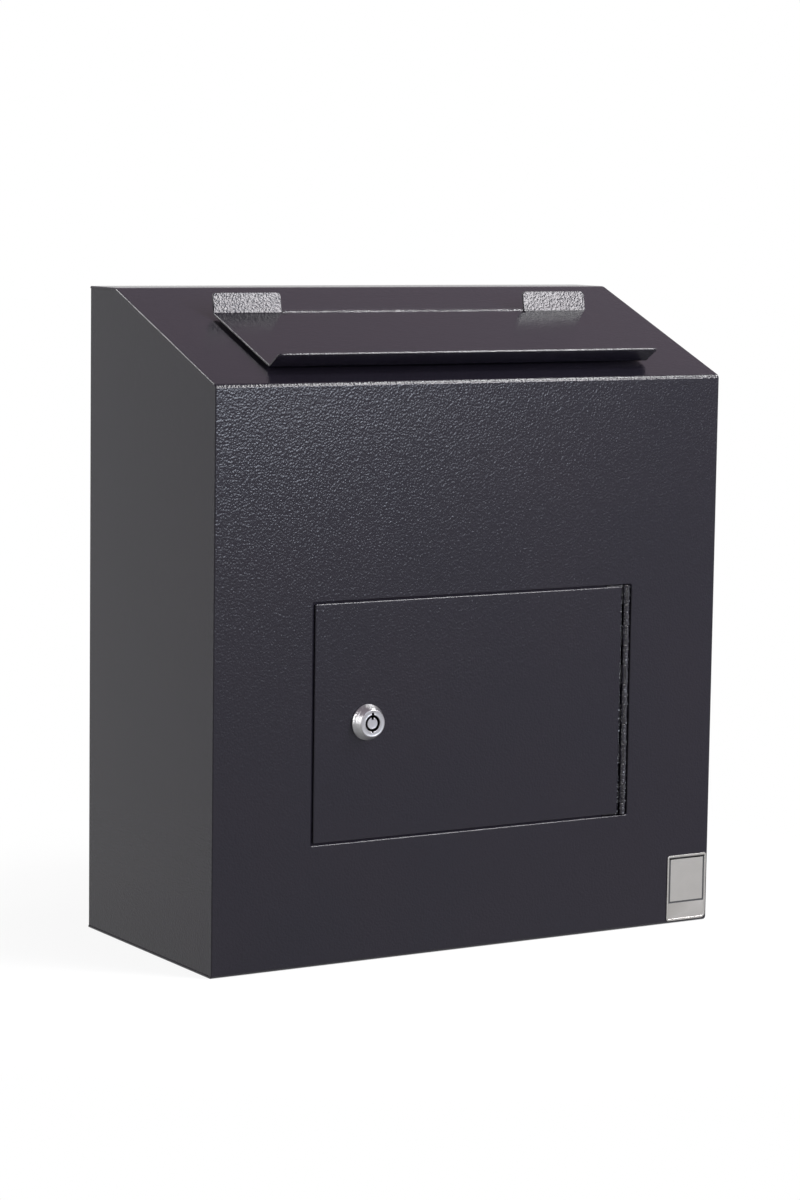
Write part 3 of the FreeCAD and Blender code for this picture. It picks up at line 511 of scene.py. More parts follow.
class Shader:
    """The node tree of one material or of the world."""

    def __init__(self, owner):
        owner.use_nodes = True
        self.tree = owner.node_tree
        self.tree.nodes.clear()

    def node(self, kind, options=None, sockets=None, output=0):
        """Adds a node, sets it, then gives its sockets their values or links."""
        made = self.tree.nodes.new(kind)
        for name, value in (options or {}).items():
            setattr(made, name, value)
        for name, value in (sockets or {}).items():
            if isinstance(value, Value):
                self.tree.links.new(value.socket, made.inputs[name])
            else:
                made.inputs[name].default_value = value
        if not made.outputs:
            return None
        return Value(self, made.outputs[output])

    def place(self, centre=(0, 0, 0), stretch=(1, 1, 1)):
        """Where a point lies on the object, measured from a centre."""
        spot = self.node("ShaderNodeTexCoord", output="Object")
        shift = [-value * factor for value, factor in zip(centre, stretch)]
        return self.node("ShaderNodeMapping", sockets={"Vector": spot, "Location": shift, "Scale": stretch})

    def noise(self, where, size, detail=2.0, roughness=0.5):
        """Cloudy noise whose patches are about as large as size."""
        return self.node("ShaderNodeTexNoise", sockets={
            "Vector": where, "Scale": 1 / size, "Detail": detail, "Roughness": roughness})

    def dimples(self, where, size):
        """Round dimples about as wide as size."""
        return self.node("ShaderNodeTexVoronoi", {"feature": "SMOOTH_F1"}, {
            "Vector": where, "Scale": 1 / size, "Smoothness": 0.45}, output="Distance")

    def from_axis(self, where):
        """How far a point lies from the Y axis."""
        flat = self.node("ShaderNodeVectorMath", {"operation": "MULTIPLY"}, {0: where, 1: (1, 0, 1)})
        return self.node("ShaderNodeVectorMath", {"operation": "LENGTH"}, {0: flat}, output="Value")

    def axis(self, where, name):
        return self.node("ShaderNodeSeparateXYZ", sockets={0: where}, output=name)

    def rings(self, radius, size):
        """Noise that only changes outwards, as a turned face has."""
        return self.node("ShaderNodeTexNoise", {"noise_dimensions": "1D"}, {
            "W": radius, "Scale": 1 / size, "Detail": 3.0, "Roughness": 0.6})

    def rise(self, value, start, end, low=0.0, high=1.0):
        """A smooth step from low to high between start and end."""
        return self.node("ShaderNodeMapRange", {"interpolation_type": "SMOOTHSTEP"}, {
            "Value": value, "From Min": start, "From Max": end, "To Min": low, "To Max": high})

    def mix(self, share, first, second):
        return self.node("ShaderNodeMix", {"data_type": "RGBA"}, {0: share, 6: first, 7: second}, output=2)

    def bump(self, height, depth, strength=1.0):
        return self.node("ShaderNodeBump", sockets={
            "Height": height, "Distance": depth, "Strength": strength})

    def seen(self):
        """1 for what the camera, a glossy surface or glass sees, else 0."""
        path = self.node("ShaderNodeLightPath", output="Is Camera Ray")
        return path.larger(path.output("Is Glossy Ray")).larger(path.output("Is Transmission Ray"))

    def surface(self, **sockets):
        """The finished surface; underscores in the names stand for spaces."""
        named_sockets = {name.replace("_", " "): value for name, value in sockets.items()}
        principled = self.node("ShaderNodeBsdfPrincipled", sockets=named_sockets)
        self.node("ShaderNodeOutputMaterial", sockets={"Surface": principled})


def opaque(colour):
    return (*colour, 1)


def finish(name):
    """A new material, or the one of this name with no shader to fill."""
    material = bpy.data.materials.get(name)
    if material:
        return material, None
    material = bpy.data.materials.new(name)
    return material, Shader(material)


def powder_coat(name="charcoal powder coat", roughness=0.16, shine=0.19, cell=1.35 * MM,
                depth=0.16 * MM):
    """Charcoal powder coat with an orange-peel skin."""
    material, shader = finish(name)
    if shader:
        colours = settings("colours")
        place = shader.place()
        cloud = shader.noise(place, 90 * MM, 2)
        peel = shader.dimples(place, cell)
        grain = shader.noise(place, 0.9 * MM, 1)
        colour = shader.mix(cloud, opaque(colours.coat_cool), opaque(colours.coat_warm))
        skin = peel * 0.7 + grain * 0.3
        shader.surface(
            Base_Color=colour,
            Roughness=roughness + cloud * 0.03 + grain * 0.03,
            Specular_IOR_Level=shine,
            Normal=shader.bump(skin, depth),
        )
    return material


def turned_steel(name, colour, collar_colour=None, roughness=0.24):
    """Steel with the fine rings that a lathe leaves round the lock's axis, with painted shade down in the
    keyway.

    The rings are coarser on the tapered collar, beyond the face.
    """
    material, shader = finish(name)
    if shader:
        lock = settings("lock")
        place = shader.place(lock_centre())
        radius = shader.from_axis(place)
        rings = shader.rings(radius, 0.16 * MM)
        cloud = shader.noise(place, 3 * MM, 2)
        collar = shader.rise(radius, lock.face / 2 - 0.1 * MM, lock.face / 2 + 0.1 * MM)
        inside = radius.below(lock.keyway / 2 + lock.index_reach + 0.2 * MM)
        depth = shader.axis(place, "Y") + lock.head
        # Painted shade: the base colour turns near black down in the keyway and the bore, where shade
        # falls.
        painted_keyway_shade = shader.rise(depth, 0.3 * MM, 1.1 * MM) * depth.below(lock.head + lock.body / 2) * inside
        bare = shader.mix(collar, opaque(colour), opaque(collar_colour or colour))
        tone = shader.mix(cloud * 0.15 + rings * 0.1, bare, (0, 0, 0, 1))
        shader.surface(
            Base_Color=shader.mix(painted_keyway_shade, tone, (0.004, 0.004, 0.004, 1)),
            Metallic=1.0,
            Roughness=roughness + rings * 0.1 + cloud * 0.05,
            Normal=shader.bump(rings * (collar + 0.02), 0.13 * MM),
        )
    return material


def plated_steel(name, colour):
    """Zinc-plated steel, a little cloudy."""
    material, shader = finish(name)
    if shader:
        place = shader.place()
        cloud = shader.noise(place, 4 * MM, 3)
        grain = shader.noise(place, 0.35 * MM, 2)
        shader.surface(
            Base_Color=shader.mix(cloud, opaque(colour), opaque([value * 0.72 for value in colour])),
            Metallic=1.0,
            Roughness=0.3 + cloud * 0.12,
            Normal=shader.bump(grain, 0.02 * MM),
        )
    return material


def brushed_plate():
    """Satin metal of the blank plate, brushed sideways."""
    material, shader = finish("satin plate")
    if shader:
        colours = settings("colours")
        strokes = shader.noise(shader.place(stretch=(0.06, 1, 1)), 0.12 * MM, 3)
        cloud = shader.noise(shader.place(), 9 * MM, 2)
        silver = opaque(colours.silver)
        shader.surface(
            Base_Color=shader.mix(strokes * 0.6 + cloud * 0.4, silver,
                                  opaque([value * 0.78 for value in colours.silver])),
            Metallic=1.0,
            Roughness=0.36 + strokes * 0.12,
            Normal=shader.bump(strokes, 0.01 * MM),
        )
    return material


def dark_enamel():
    """The dark frame line on the plate."""
    material, shader = finish("dark enamel")
    if shader:
        grain = shader.noise(shader.place(), 0.4 * MM, 2)
        enamel = settings("colours").enamel
        shader.surface(
            Base_Color=shader.mix(grain, opaque(enamel), opaque([value * 1.8 for value in enamel])),
            Roughness=0.4 + grain * 0.15,
            Specular_IOR_Level=0.3,
            Normal=shader.bump(grain, 0.01 * MM),
        )
    return material


class DROPBOX_OT_case_sheet(Operator):
    """Folds the case from one sheet and cuts the door opening and the drop slot"""
    bl_idname = "dropbox.case_sheet"
    bl_label = "Case sheet"

    def execute(self, context):
        case = settings("case")
        low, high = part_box("case_wrap")
        corner = front_corner()
        slope = slope_angle()
        sheet = new_block("case_sheet", low, high)
        with editing(sheet):
            slice_at(corner, slope_normal(), use_fill=True, clear_outer=True)
            pick("faces", lambda face: abs(face.normal.x) > STRAIGHT or face.normal.y > STRAIGHT)
            bpy.ops.mesh.delete(type="FACE")
            across = runs_along(0)
            folds = (
                (case.base_bend, math.pi / 2, (low.y, low.z)),
                (case.front_bend, math.pi / 2 - slope, (low.y, corner.z)),
                (case.top_bend, slope, (high.y - case.top_depth, high.z)),
            )
            for radius, turned_by, (y, z) in folds:
                round_edges(radius, lambda edge: across(edge) and level(1, y)(edge) and level(2, z)(edge),
                            turned_by, FOLD_STEPS)
            face_along((0, -1, 0))
        thicken(sheet, case.wall)
        far = case.wall * 3
        door_hole = rounded_block(
            "door_hole", (case.door_left, low.y - far, case.door_bottom),
            (case.door_right, low.y + far, case.door_top), 1, case.door_corner)
        slot = rounded_block("slot", (-case.slot_half, case.slot_start, -far),
                             (case.slot_half, case.slot_end, far), 2, case.slot_corner)
        cut(sheet, door_hole, onto_slope(slot))

        centre = (low + high) / 2

        def on_rim(edge):
            """Passes the outer edges of the sheet's left and right ends."""
            spot = middle(edge)
            skins = [face for face in edge.link_faces if abs(face.normal.x) < STRAIGHT]
            return abs(spot.x) > high.x - NEAR and spot.y < high.y - NEAR and len(skins) == 1 and (
                skins[0].normal.dot(spot - centre) > 0)

        def on_opening(edge):
            """Passes the front edges of the door opening."""
            spot = middle(edge)
            inside = abs(spot.x) < high.x - far and case.door_bottom - NEAR < spot.z < case.door_top + NEAR
            return level(1, low.y)(edge) and inside and any(
                abs(face.normal.y) < NEAR for face in edge.link_faces)

        with editing(sheet):
            round_edges(case.rolled, on_rim, steps=ROLL_STEPS)
            round_edges(case.rolled, on_opening, steps=ROLL_STEPS)
        soften(sheet, case.edge)
        hand_over(sheet, "case", powder_coat(), "powder_coat", "case_wrap")
        return {"FINISHED"}


class DROPBOX_OT_side_plates(Operator):
    """Makes the two flat side plates that stand inside the case sheet's edges"""
    bl_idname = "dropbox.side_plates"
    bl_label = "Side plates"

    def execute(self, context):
        case = settings("case")
        slope = slope_angle()
        inner_corner = front_corner() - slope_normal() * case.wall
        across = runs_along(0)
        for name in ("left_side", "right_side"):
            low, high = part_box(f"{name}_plate")
            plate = new_block(name, low, high)
            with editing(plate):
                slice_at(inner_corner, slope_normal(), use_fill=True, clear_outer=True)
                folds = (
                    (case.base_bend, math.pi / 2,
                     lambda spot: spot.y < low.y + NEAR and spot.z < low.z + NEAR),
                    (case.front_bend, math.pi / 2 - slope,
                     lambda spot: spot.y < low.y + NEAR and spot.z > low.z + NEAR),
                    (case.top_bend, slope, lambda spot: spot.z > high.z - NEAR and spot.y < high.y - NEAR),
                )
                for radius, turned_by, there in folds:
                    round_edges(radius - case.wall, lambda edge: across(edge) and there(middle(edge)),
                                turned_by, FOLD_STEPS)
            soften(plate, case.edge)
            hand_over(plate, "case", powder_coat(), "powder_coat", f"{name}_plate")
        return {"FINISHED"}


class DROPBOX_OT_door_skin(Operator):
    """Makes the flush door with its rounded corners and the hole for the lock"""
    bl_idname = "dropbox.door_skin"
    bl_label = "Door skin"

    def execute(self, context):
        case = settings("case")
        lock = settings("lock")
        low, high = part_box("door_panel")
        skin = rounded_block("door_skin", low, high, 1, case.door_corner)
        with editing(skin):
            round_edges(case.rolled, level(1, low.y), steps=ROLL_STEPS)
        room = 0.1 * MM
        hole = new_disc("lock_hole", lock.thread / 2 + room, -case.wall * 2, case.wall)
        with editing(hole):
            for side in (-1, 1):
                slice_at((side * (lock.flats / 2 + room), 0, 0), (side, 0, 0), use_fill=True,
                         clear_outer=True)
        cut(skin, onto_door(hole))
        soften(skin, case.edge)
        hand_over(skin, "door", powder_coat(), "powder_coat", "door_panel")
        return {"FINISHED"}


class DROPBOX_OT_drop_flap(Operator):
    """Folds the flap with its lip and its two stop tabs, and lays it on the slope"""
    bl_idname = "dropbox.drop_flap"
    bl_label = "Drop flap"

    def execute(self, context):
        flap = settings("flap")
        wall = settings("case").wall
        top = flap.gap + wall
        tab_x = flap.half_width - flap.tab_width
        notch_x = tab_x - flap.relief_width
        notch_y = flap.end - flap.relief_depth
        sheet = new_sheet("drop_flap", -flap.half_width, flap.start, flap.half_width, flap.end, top)
        lip_y = flap.start - flap.lip_length * math.cos(flap.lip_turn)
        tab_y = flap.end + flap.tab_length * math.cos(flap.tab_turn)
        with editing(sheet):
            for x in (-tab_x, -notch_x, notch_x, tab_x):
                slice_at((x, 0, 0), (1, 0, 0))
            slice_at((0, notch_y, 0), (0, 1, 0))
            pick("faces", lambda face: notch_x < abs(middle(face).x) < tab_x and middle(face).y > notch_y)
            bpy.ops.mesh.delete(type="FACE")
            pick("edges", level(1, flap.start))
            draw_out(0, lip_y - flap.start, flap.lip_length * math.sin(flap.lip_turn))
            pick("edges", lambda edge: level(1, flap.end)(edge) and abs(middle(edge).x) > tab_x)
            draw_out(0, tab_y - flap.end, flap.tab_length * math.sin(flap.tab_turn))
            round_edges(flap.bend, lambda edge: level(1, flap.start)(edge), flap.lip_turn, FOLD_STEPS)
            round_edges(flap.bend, lambda edge: level(1, flap.end)(edge) and abs(middle(edge).x) > tab_x,
                        flap.tab_turn, FOLD_STEPS)
            round_tips(flap.lip_corner, lambda vert: level(1, lip_y)(vert)
                       and abs(vert.co.x) > flap.half_width - NEAR)
            round_tips(flap.tab_corner, level(1, tab_y))
            face_along((0, 0, 1))
        thicken(sheet, wall)
        onto_slope(sheet)
        soften(sheet, flap.edge)
        hand_over(sheet, "flap", powder_coat(), "powder_coat", "flap_plate")
        return {"FINISHED"}


def turned(name, outline, steps=ROUND_STEPS):
    """A piece turned about Z, drawn out ring by ring from its outline's radii and heights."""
    clear_selection()
    closed = outline[0] == outline[-1]
    radius, height = outline[0]
    bpy.ops.mesh.primitive_circle_add(vertices=steps, radius=radius, fill_type="NOTHING",
                                      location=(0, 0, height))
    piece = named(name)
    with editing(piece):
        bpy.ops.mesh.select_mode(type="EDGE")
        pick_all()
        if not closed:
            bpy.ops.mesh.edge_face_add()
        for next_radius, next_height in outline[1:]:
            draw_out(0, 0, next_height - height)
            grow = next_radius / radius
            bpy.ops.transform.resize(value=(grow, grow, 1), center_override=(0, 0, next_height))
            radius, height = next_radius, next_height
        if not closed:
            bpy.ops.mesh.edge_face_add()
        close_up()
    return piece


def ridges(radius, depth, start, end, pitch):
    """Outline points of a thread between two heights."""
    count = round(abs(end - start) / pitch)
    step = (end - start) / count
    points = []
    for number in range(count):
        points.append((radius, start + step * (number + 0.25)))
        points.append((radius - depth, start + step * (number + 0.75)))
    return points


def knuckle_spans(barrel_length, takes_first):
    """Where one leaf's knuckles begin and end along the barrel."""
    hinge = settings("hinge")
    whole = math.floor(barrel_length / hinge.pitch + 0.001)
    rest = barrel_length - whole * hinge.pitch
    cells = [(rest + hinge.pitch * number, rest + hinge.pitch * (number + 1)) for number in range(whole)]
    if rest > hinge.gap * 3:
        cells.insert(0, (0, rest))
    chosen = cells[0 if takes_first else 1::2]
    return [(start + hinge.gap / 2, end - hinge.gap / 2) for start, end in chosen]


def rolled_leaf(name, barrel_length, takes_first, low, sweep):
    """A hinge leaf made along X: flat towards -Y, its knuckles rolled round the X axis.

    low is the height of its outer face below the axis, and sweep is how far the knuckles are rolled.
    """
    hinge = settings("hinge")
    edge_y = -(hinge.barrel / 2 + hinge.clearance)
    spans = knuckle_spans(barrel_length, takes_first)
    leaf = new_sheet(name, 0, -hinge.reach, barrel_length, edge_y, low, down=True)
    with editing(leaf):
        for x in sorted({x for span in spans for x in span}):
            if NEAR < x < barrel_length - NEAR:
                slice_at((x, 0, 0), (1, 0, 0))
        pick("edges", lambda edge: level(1, edge_y)(edge)
             and any(start < middle(edge).x < end for start, end in spans))
        draw_out(0, -edge_y, -hinge.barrel / 2 - low)
        bpy.ops.mesh.spin(steps=KNUCKLE_STEPS, angle=sweep, center=(0, 0, 0), axis=(-1, 0, 0))
        face_along((0, 0, -1))
    thicken(leaf, hinge.leaf)
    return leaf


class DROPBOX_OT_hinges(Operator):
    """Rolls the two continuous hinges and turns their pins"""
    bl_idname = "dropbox.hinges"
    bl_label = "Hinges"

    def execute(self, context):
        hinge = settings("hinge")
        radius = hinge.barrel / 2
        slope = slope_angle()
        up_slope = Vector((0, math.cos(slope), math.sin(slope)))
        door_low, door_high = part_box("door_hinge_pin")
        flap_low, flap_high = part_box("flap_hinge_pin")
        door_axis = Vector(((door_low.x + door_high.x) / 2, (door_low.y + door_high.y) / 2, door_low.z))
        flap_axis = Vector((flap_low.x, (flap_low.y + flap_high.y) / 2, (flap_low.z + flap_high.z) / 2))
        axis_lift = (flap_axis - front_corner()).dot(slope_normal())
        full_roll = math.radians(297)
        short_roll = math.radians(262)
        door_length = door_high.z - door_low.z
        flap_length = flap_high.x - flap_low.x
        right, back, up = Vector((1, 0, 0)), Vector((0, 1, 0)), Vector((0, 0, 1))
        leaves = (
            ("door_hinge_frame_leaf", "case", door_length, True, -radius, full_roll,
             door_axis, (up, -right, -back)),
            ("door_hinge_door_leaf", "door", door_length, False, radius - hinge.leaf, full_roll,
             door_axis, (up, right, back)),
            ("flap_hinge_fixed_leaf", "case", flap_length, True, -axis_lift, full_roll,
             flap_axis, (right, up_slope, slope_normal())),
            ("flap_hinge_moving_leaf", "flap", flap_length, False, hinge.flap_leaf_lift - axis_lift,
             short_roll, flap_axis, (right, up_slope, slope_normal())),
        )
        for node, body, span, takes_first, low, sweep, place, axes in leaves:
            leaf = rolled_leaf(f"{node}_rolled", span, takes_first, low, sweep)
            leaf.matrix_world = Matrix.Translation(place) @ Matrix(axes).transposed().to_4x4()
            settle(leaf)
            soften(leaf, hinge.edge)
            coat = powder_coat("charcoal powder coat, coarse", shine=0.4, cell=1.1 * MM, depth=0.45 * MM)
            hand_over(leaf, body, coat, "powder_coat", node)
        pins = (
            ("door_hinge_pin", door_length, door_axis, (0, 0, 0)),
            ("flap_hinge_pin", flap_length, flap_axis, (0, math.pi / 2, 0)),
        )
        for node, span, place, rotation in pins:
            wide = hinge.pin / 2
            end = hinge.edge * 2
            pin = turned(f"{node}_turned", [(wide - end, 0), (wide, end), (wide, span - end),
                                            (wide - end, span)], 48)
            pin.location = place
            pin.rotation_euler = rotation
            settle(pin)
            soften(pin, hinge.edge / 2)
            hand_over(pin, "case", plated_steel("bright pin steel", settings("colours").pin),
                      "hinge_pin_steel", node)
        return {"FINISHED"}


class DROPBOX_OT_lock(Operator):
    """Turns the lock's head and body, its core with the centre post, and the key pins"""
    bl_idname = "dropbox.lock"
    bl_label = "Lock"

    def execute(self, context):
        lock = settings("lock")
        colours = settings("colours")
        self.make_head(lock, colours)
        self.make_core(lock, colours)
        self.make_key_pins(lock, colours)
        return {"FINISHED"}

    def make_head(self, lock, colours):
        bore = lock.keyway / 2
        bore_edge = 0.25 * MM
        dish = 0.07 * MM
        face = lock.face / 2
        thread = lock.thread / 2
        tail_bore = lock.tail / 2 + 0.05 * MM
        outline = [
            (bore, lock.head - bore_edge),
            (bore + bore_edge, lock.head),
            (bore + 0.6 * MM, lock.head),
            (bore + 0.8 * MM, lock.head - dish),
            (face - 1.3 * MM, lock.head - dish),
            (face - 1.1 * MM, lock.head),
            (face - lock.chamfer, lock.head),
            (face, lock.head - lock.chamfer),
            (lock.base / 2, lock.rim),
            (lock.base / 2, 0),
            (thread, 0),
            *ridges(thread, lock.thread_depth, -0.4 * MM, 0.3 * MM - lock.body, lock.thread_pitch),
            (thread - lock.thread_depth, -lock.body),
            (tail_bore, -lock.body),
            (tail_bore, lock.rear_wall - lock.body),
            (bore, lock.rear_wall - lock.body),
            (bore, lock.head - bore_edge),
        ]
        head = turned("lock_head", outline)
        beyond = lock.thread
        half = lock.index / 2
        notch_back = lock.head - lock.index_depth
        flats = [
            new_block("flat", (lock.flats / 2, -beyond, -beyond), (beyond, beyond, -SAME_PLACE)),
            new_block("flat", (-beyond, -beyond, -beyond), (-lock.flats / 2, beyond, -SAME_PLACE)),
        ]
        notches = [
            rounded_block("notch", (-half, bore - 0.5 * MM, notch_back),
                          (half, bore + lock.index_reach, beyond), 2, 0.3 * MM),
            rounded_block("notch", (-half * 0.8, -bore - 0.75 * MM, notch_back),
                          (half * 0.8, 0.5 * MM - bore, beyond), 2, 0.3 * MM),
        ]
        cut(head, *flats, *notches)
        onto_door(head)
        soften(head, 0.09 * MM, 24)
        hand_over(head, "door", turned_steel("satin lock steel", colours.face, colours.chrome),
                  "lock_chrome", "lock_housing")

    def make_core(self, lock, colours):
        post = lock.post / 2
        front = lock.head - lock.post_recess
        carrier = lock.keyway / 2 - 0.05 * MM
        carrier_front = lock.head - lock.keyway_depth
        carrier_back = lock.rear_wall - lock.body + 0.05 * MM
        tail_start = -lock.body - 0.05 * MM
        square_end = -lock.body - lock.square_length
        tail_end = -lock.body - lock.tail_length
        core = turned("lock_core", [
            (post - 1.0 * MM, front - 0.05 * MM),
            (post - 0.85 * MM, front),
            (post - 0.3 * MM, front),
            (post, front - 0.3 * MM),
            (post, carrier_front),
            (carrier, carrier_front),
            (carrier, carrier_back),
            (lock.tail / 2, carrier_back),
            (lock.tail / 2, tail_start),
        ])
        half = lock.index / 2
        notch = rounded_block("notch", (-half, post - lock.index_reach, lock.head - lock.index_depth),
                              (half, post + 0.5 * MM, lock.head + MM), 2, 0.3 * MM)
        cut(core, notch)
        side = lock.tail_square / 2
        square = rounded_block("square", (-side, -side, square_end), (side, side, tail_start), 2, 0.4 * MM)
        thread = lock.tail_thread / 2
        stud = turned("stud", [
            (thread, square_end),
            *ridges(thread, 0.3 * MM, square_end - 0.2 * MM, tail_end + 0.5 * MM, 0.8 * MM),
            (thread - 0.3 * MM, tail_end + 0.2 * MM),
            (thread - 0.6 * MM, tail_end),
        ], 64)
        core = join("lock_core", [core, square, stud])
        onto_door(core)
        soften(core, 0.08 * MM, 24)
        hand_over(core, "lock", turned_steel("lock core steel", colours.plug), "lock_plug_steel",
                  "lock_plug")

    def make_key_pins(self, lock, colours):
        radius = lock.key_pin / 2
        tip = lock.head - lock.keyway_depth + lock.key_pin_stand
        first = turned("key_pin", [
            (radius * 0.35, tip), (radius * 0.75, tip - 0.06 * MM), (radius, tip - 0.3 * MM),
            (radius, tip - lock.key_pin_stand * 3),
        ], 32)
        circle = lock.key_pin_circle / 2
        pins = [first]
        for number in range(1, lock.key_pins):
            copy = first.copy()
            copy.data = first.data.copy()
            bpy.context.scene.collection.objects.link(copy)
            pins.append(copy)
        for number, pin in enumerate(pins):
            around = math.pi / 2 + 2 * math.pi * number / lock.key_pins
            pin.location = (circle * math.cos(around), circle * math.sin(around), 0)
            settle(pin)
        joined = join("key_pins", pins)
        onto_door(joined)
        smooth(joined, math.radians(40))
        hand_over(joined, "lock", turned_steel("key pin steel", colours.plug), "tumbler_steel",
                  "tumbler_pins")


class DROPBOX_OT_lock_nuts(Operator):
    """Makes the hexagon nuts of the lock's body and of the cam"""
    bl_idname = "dropbox.lock_nuts"
    bl_label = "Lock nuts"

    def execute(self, context):
        zinc = plated_steel("zinc plating", settings("colours").zinc)
        for node, body, width, bore in (("lock_nut", "door", 24 * MM, 19.2 * MM),
                                        ("cam_nut", "lock", 8 * MM, 5.1 * MM)):
            low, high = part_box(node)
            front = front_corner().y - low.y
            back = front_corner().y - high.y
            corner = width / math.sqrt(3)
            nut = new_disc(f"{node}_hexagon", corner, back, front, 6)
            flat = width / 2 - 0.2 * MM
            fall = (corner * 1.02 - flat) * math.tan(math.radians(30))
            crown = turned("crown", [(flat, front), (corner * 1.02, front - fall),
                                     (corner * 1.02, back + fall), (flat, back)])
            combine(nut, crown, "INTERSECT")
            step = 0.35 * MM
            cut(nut, turned("bore", [
                (bore / 2 + step * 3, front + step * 2), (bore / 2, front - step),
                (bore / 2, back + step), (bore / 2 + step * 3, back - step * 2)]))
            onto_door(nut)
            soften(nut, 0.1 * MM, 24)
            hand_over(nut, body, zinc, "zinc_steel", node)
        return {"FINISHED"}


class DROPBOX_OT_blank_plate(Operator):
    """Makes the small blank plate with its rim and dark frame line"""
    bl_idname = "dropbox.blank_plate"
    bl_label = "Blank plate"

    def execute(self, context):
        sizes = settings("plate")
        low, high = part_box("name_plate")
        plate = new_block("blank_plate", low, high)
        to_the_back = runs_along(1)
        with editing(plate):
            round_edges(sizes.low_corner, lambda edge: to_the_back(edge)
                        and level(0, high.x)(edge) and level(2, low.z)(edge))
            round_edges(sizes.corner, lambda edge: to_the_back(edge) and (
                level(0, low.x)(edge) or level(2, high.z)(edge)))
            pick("faces", lambda face: face.normal.y < -STRAIGHT)
            bpy.ops.mesh.inset(thickness=sizes.rim, depth=0, use_even_offset=True)
            bpy.ops.mesh.inset(thickness=sizes.recess, depth=-sizes.recess, use_even_offset=True)
            bpy.ops.mesh.bisect(plane_co=(0, 0, low.z + sizes.foot), plane_no=(0, 0, 1),
                                threshold=SAME_PLACE)
            pick("faces", lambda face: face.normal.y < -STRAIGHT
                 and level(1, low.y + sizes.recess)(face) and middle(face).z > low.z + sizes.foot)
            bpy.ops.mesh.inset(thickness=sizes.line_margin, depth=0, use_even_offset=True)
            bpy.ops.mesh.inset(thickness=sizes.line, depth=0, use_even_offset=True)
        soften(plate, sizes.edge)
        plate.data.materials.append(brushed_plate())
        plate.data.materials.append(dark_enamel())
        self.enamel_line(plate, sizes, low, high)
        register_piece(plate, "case", "plate_metal", "name_plate")
        return {"FINISHED"}

    def enamel_line(self, plate, sizes, low, high):
        """Lowers the frame line a little and gives it the dark enamel."""
        outer = sizes.rim + sizes.recess + sizes.line_margin
        inner = outer + sizes.line
        field = low.y + sizes.recess
        floor = low.z + sizes.foot + sizes.line_margin

        def on_line(face):
            spot = middle(face)
            inside = (low.x + outer < spot.x < high.x - outer) and (floor < spot.z < high.z - outer)
            core = (low.x + inner < spot.x < high.x - inner) and (
                floor + sizes.line < spot.z < high.z - inner)
            return inside and not core and abs(spot.y - field) < NEAR

        with editing(plate):
            pick("faces", on_line)
            plate.active_material_index = 1
            bpy.ops.object.material_slot_assign()
            bpy.ops.transform.translate(value=(0, sizes.line_groove, 0))


class DROPBOX_OT_inner_parts(Operator):
    """Softens the edges of the inner sheets, washers and cam, and gives them their finish"""
    bl_idname = "dropbox.inner_parts"
    bl_label = "Inner parts"

    def execute(self, context):
        coat = powder_coat()
        # Painted shade: the door stops and strike behind the door's gaps get a dull coat that reflects
        # almost nothing, so those gaps read as dark shade.
        gap_shade_coat = powder_coat("charcoal powder coat, thin", roughness=0.5, shine=0.03, depth=0.05 * MM)
        zinc = plated_steel("zinc plating", settings("colours").zinc)
        parts = (
            ("back_pan", "case", 0.3 * MM, coat, "powder_coat"),
            ("door_stop_top", "case", 0.3 * MM, gap_shade_coat, "powder_coat"),
            ("door_stop_bottom", "case", 0.3 * MM, gap_shade_coat, "powder_coat"),
            ("door_strike", "case", 0.3 * MM, gap_shade_coat, "powder_coat"),
            ("front_baffle", "case", 0.25 * MM, coat, "powder_coat"),
            ("rear_baffle", "case", 0.25 * MM, coat, "powder_coat"),
            ("door_stiffener", "door", 0.25 * MM, coat, "powder_coat"),
            ("lock_washer", "door", 0.1 * MM, zinc, "zinc_steel"),
            ("cam_stop_washer", "lock", 0.1 * MM, zinc, "zinc_steel"),
            ("lock_cam", "lock", 0.25 * MM, zinc, "zinc_steel"),
            ("cam_spring_washer", "lock", 0.1 * MM, zinc, "zinc_steel"),
        )
        for node, body, width, material, slot in parts:
            piece = bpy.data.objects.new(f"{node}_finished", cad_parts[node].data.copy())
            bpy.context.scene.collection.objects.link(piece)
            with editing(piece):
                pick_all()
                bpy.ops.mesh.remove_doubles(threshold=SAME_PLACE)
                bpy.ops.mesh.dissolve_limited(angle_limit=math.radians(0.5))
            soften(piece, width)
            hand_over(piece, body, material, slot, node)
        return {"FINISHED"}


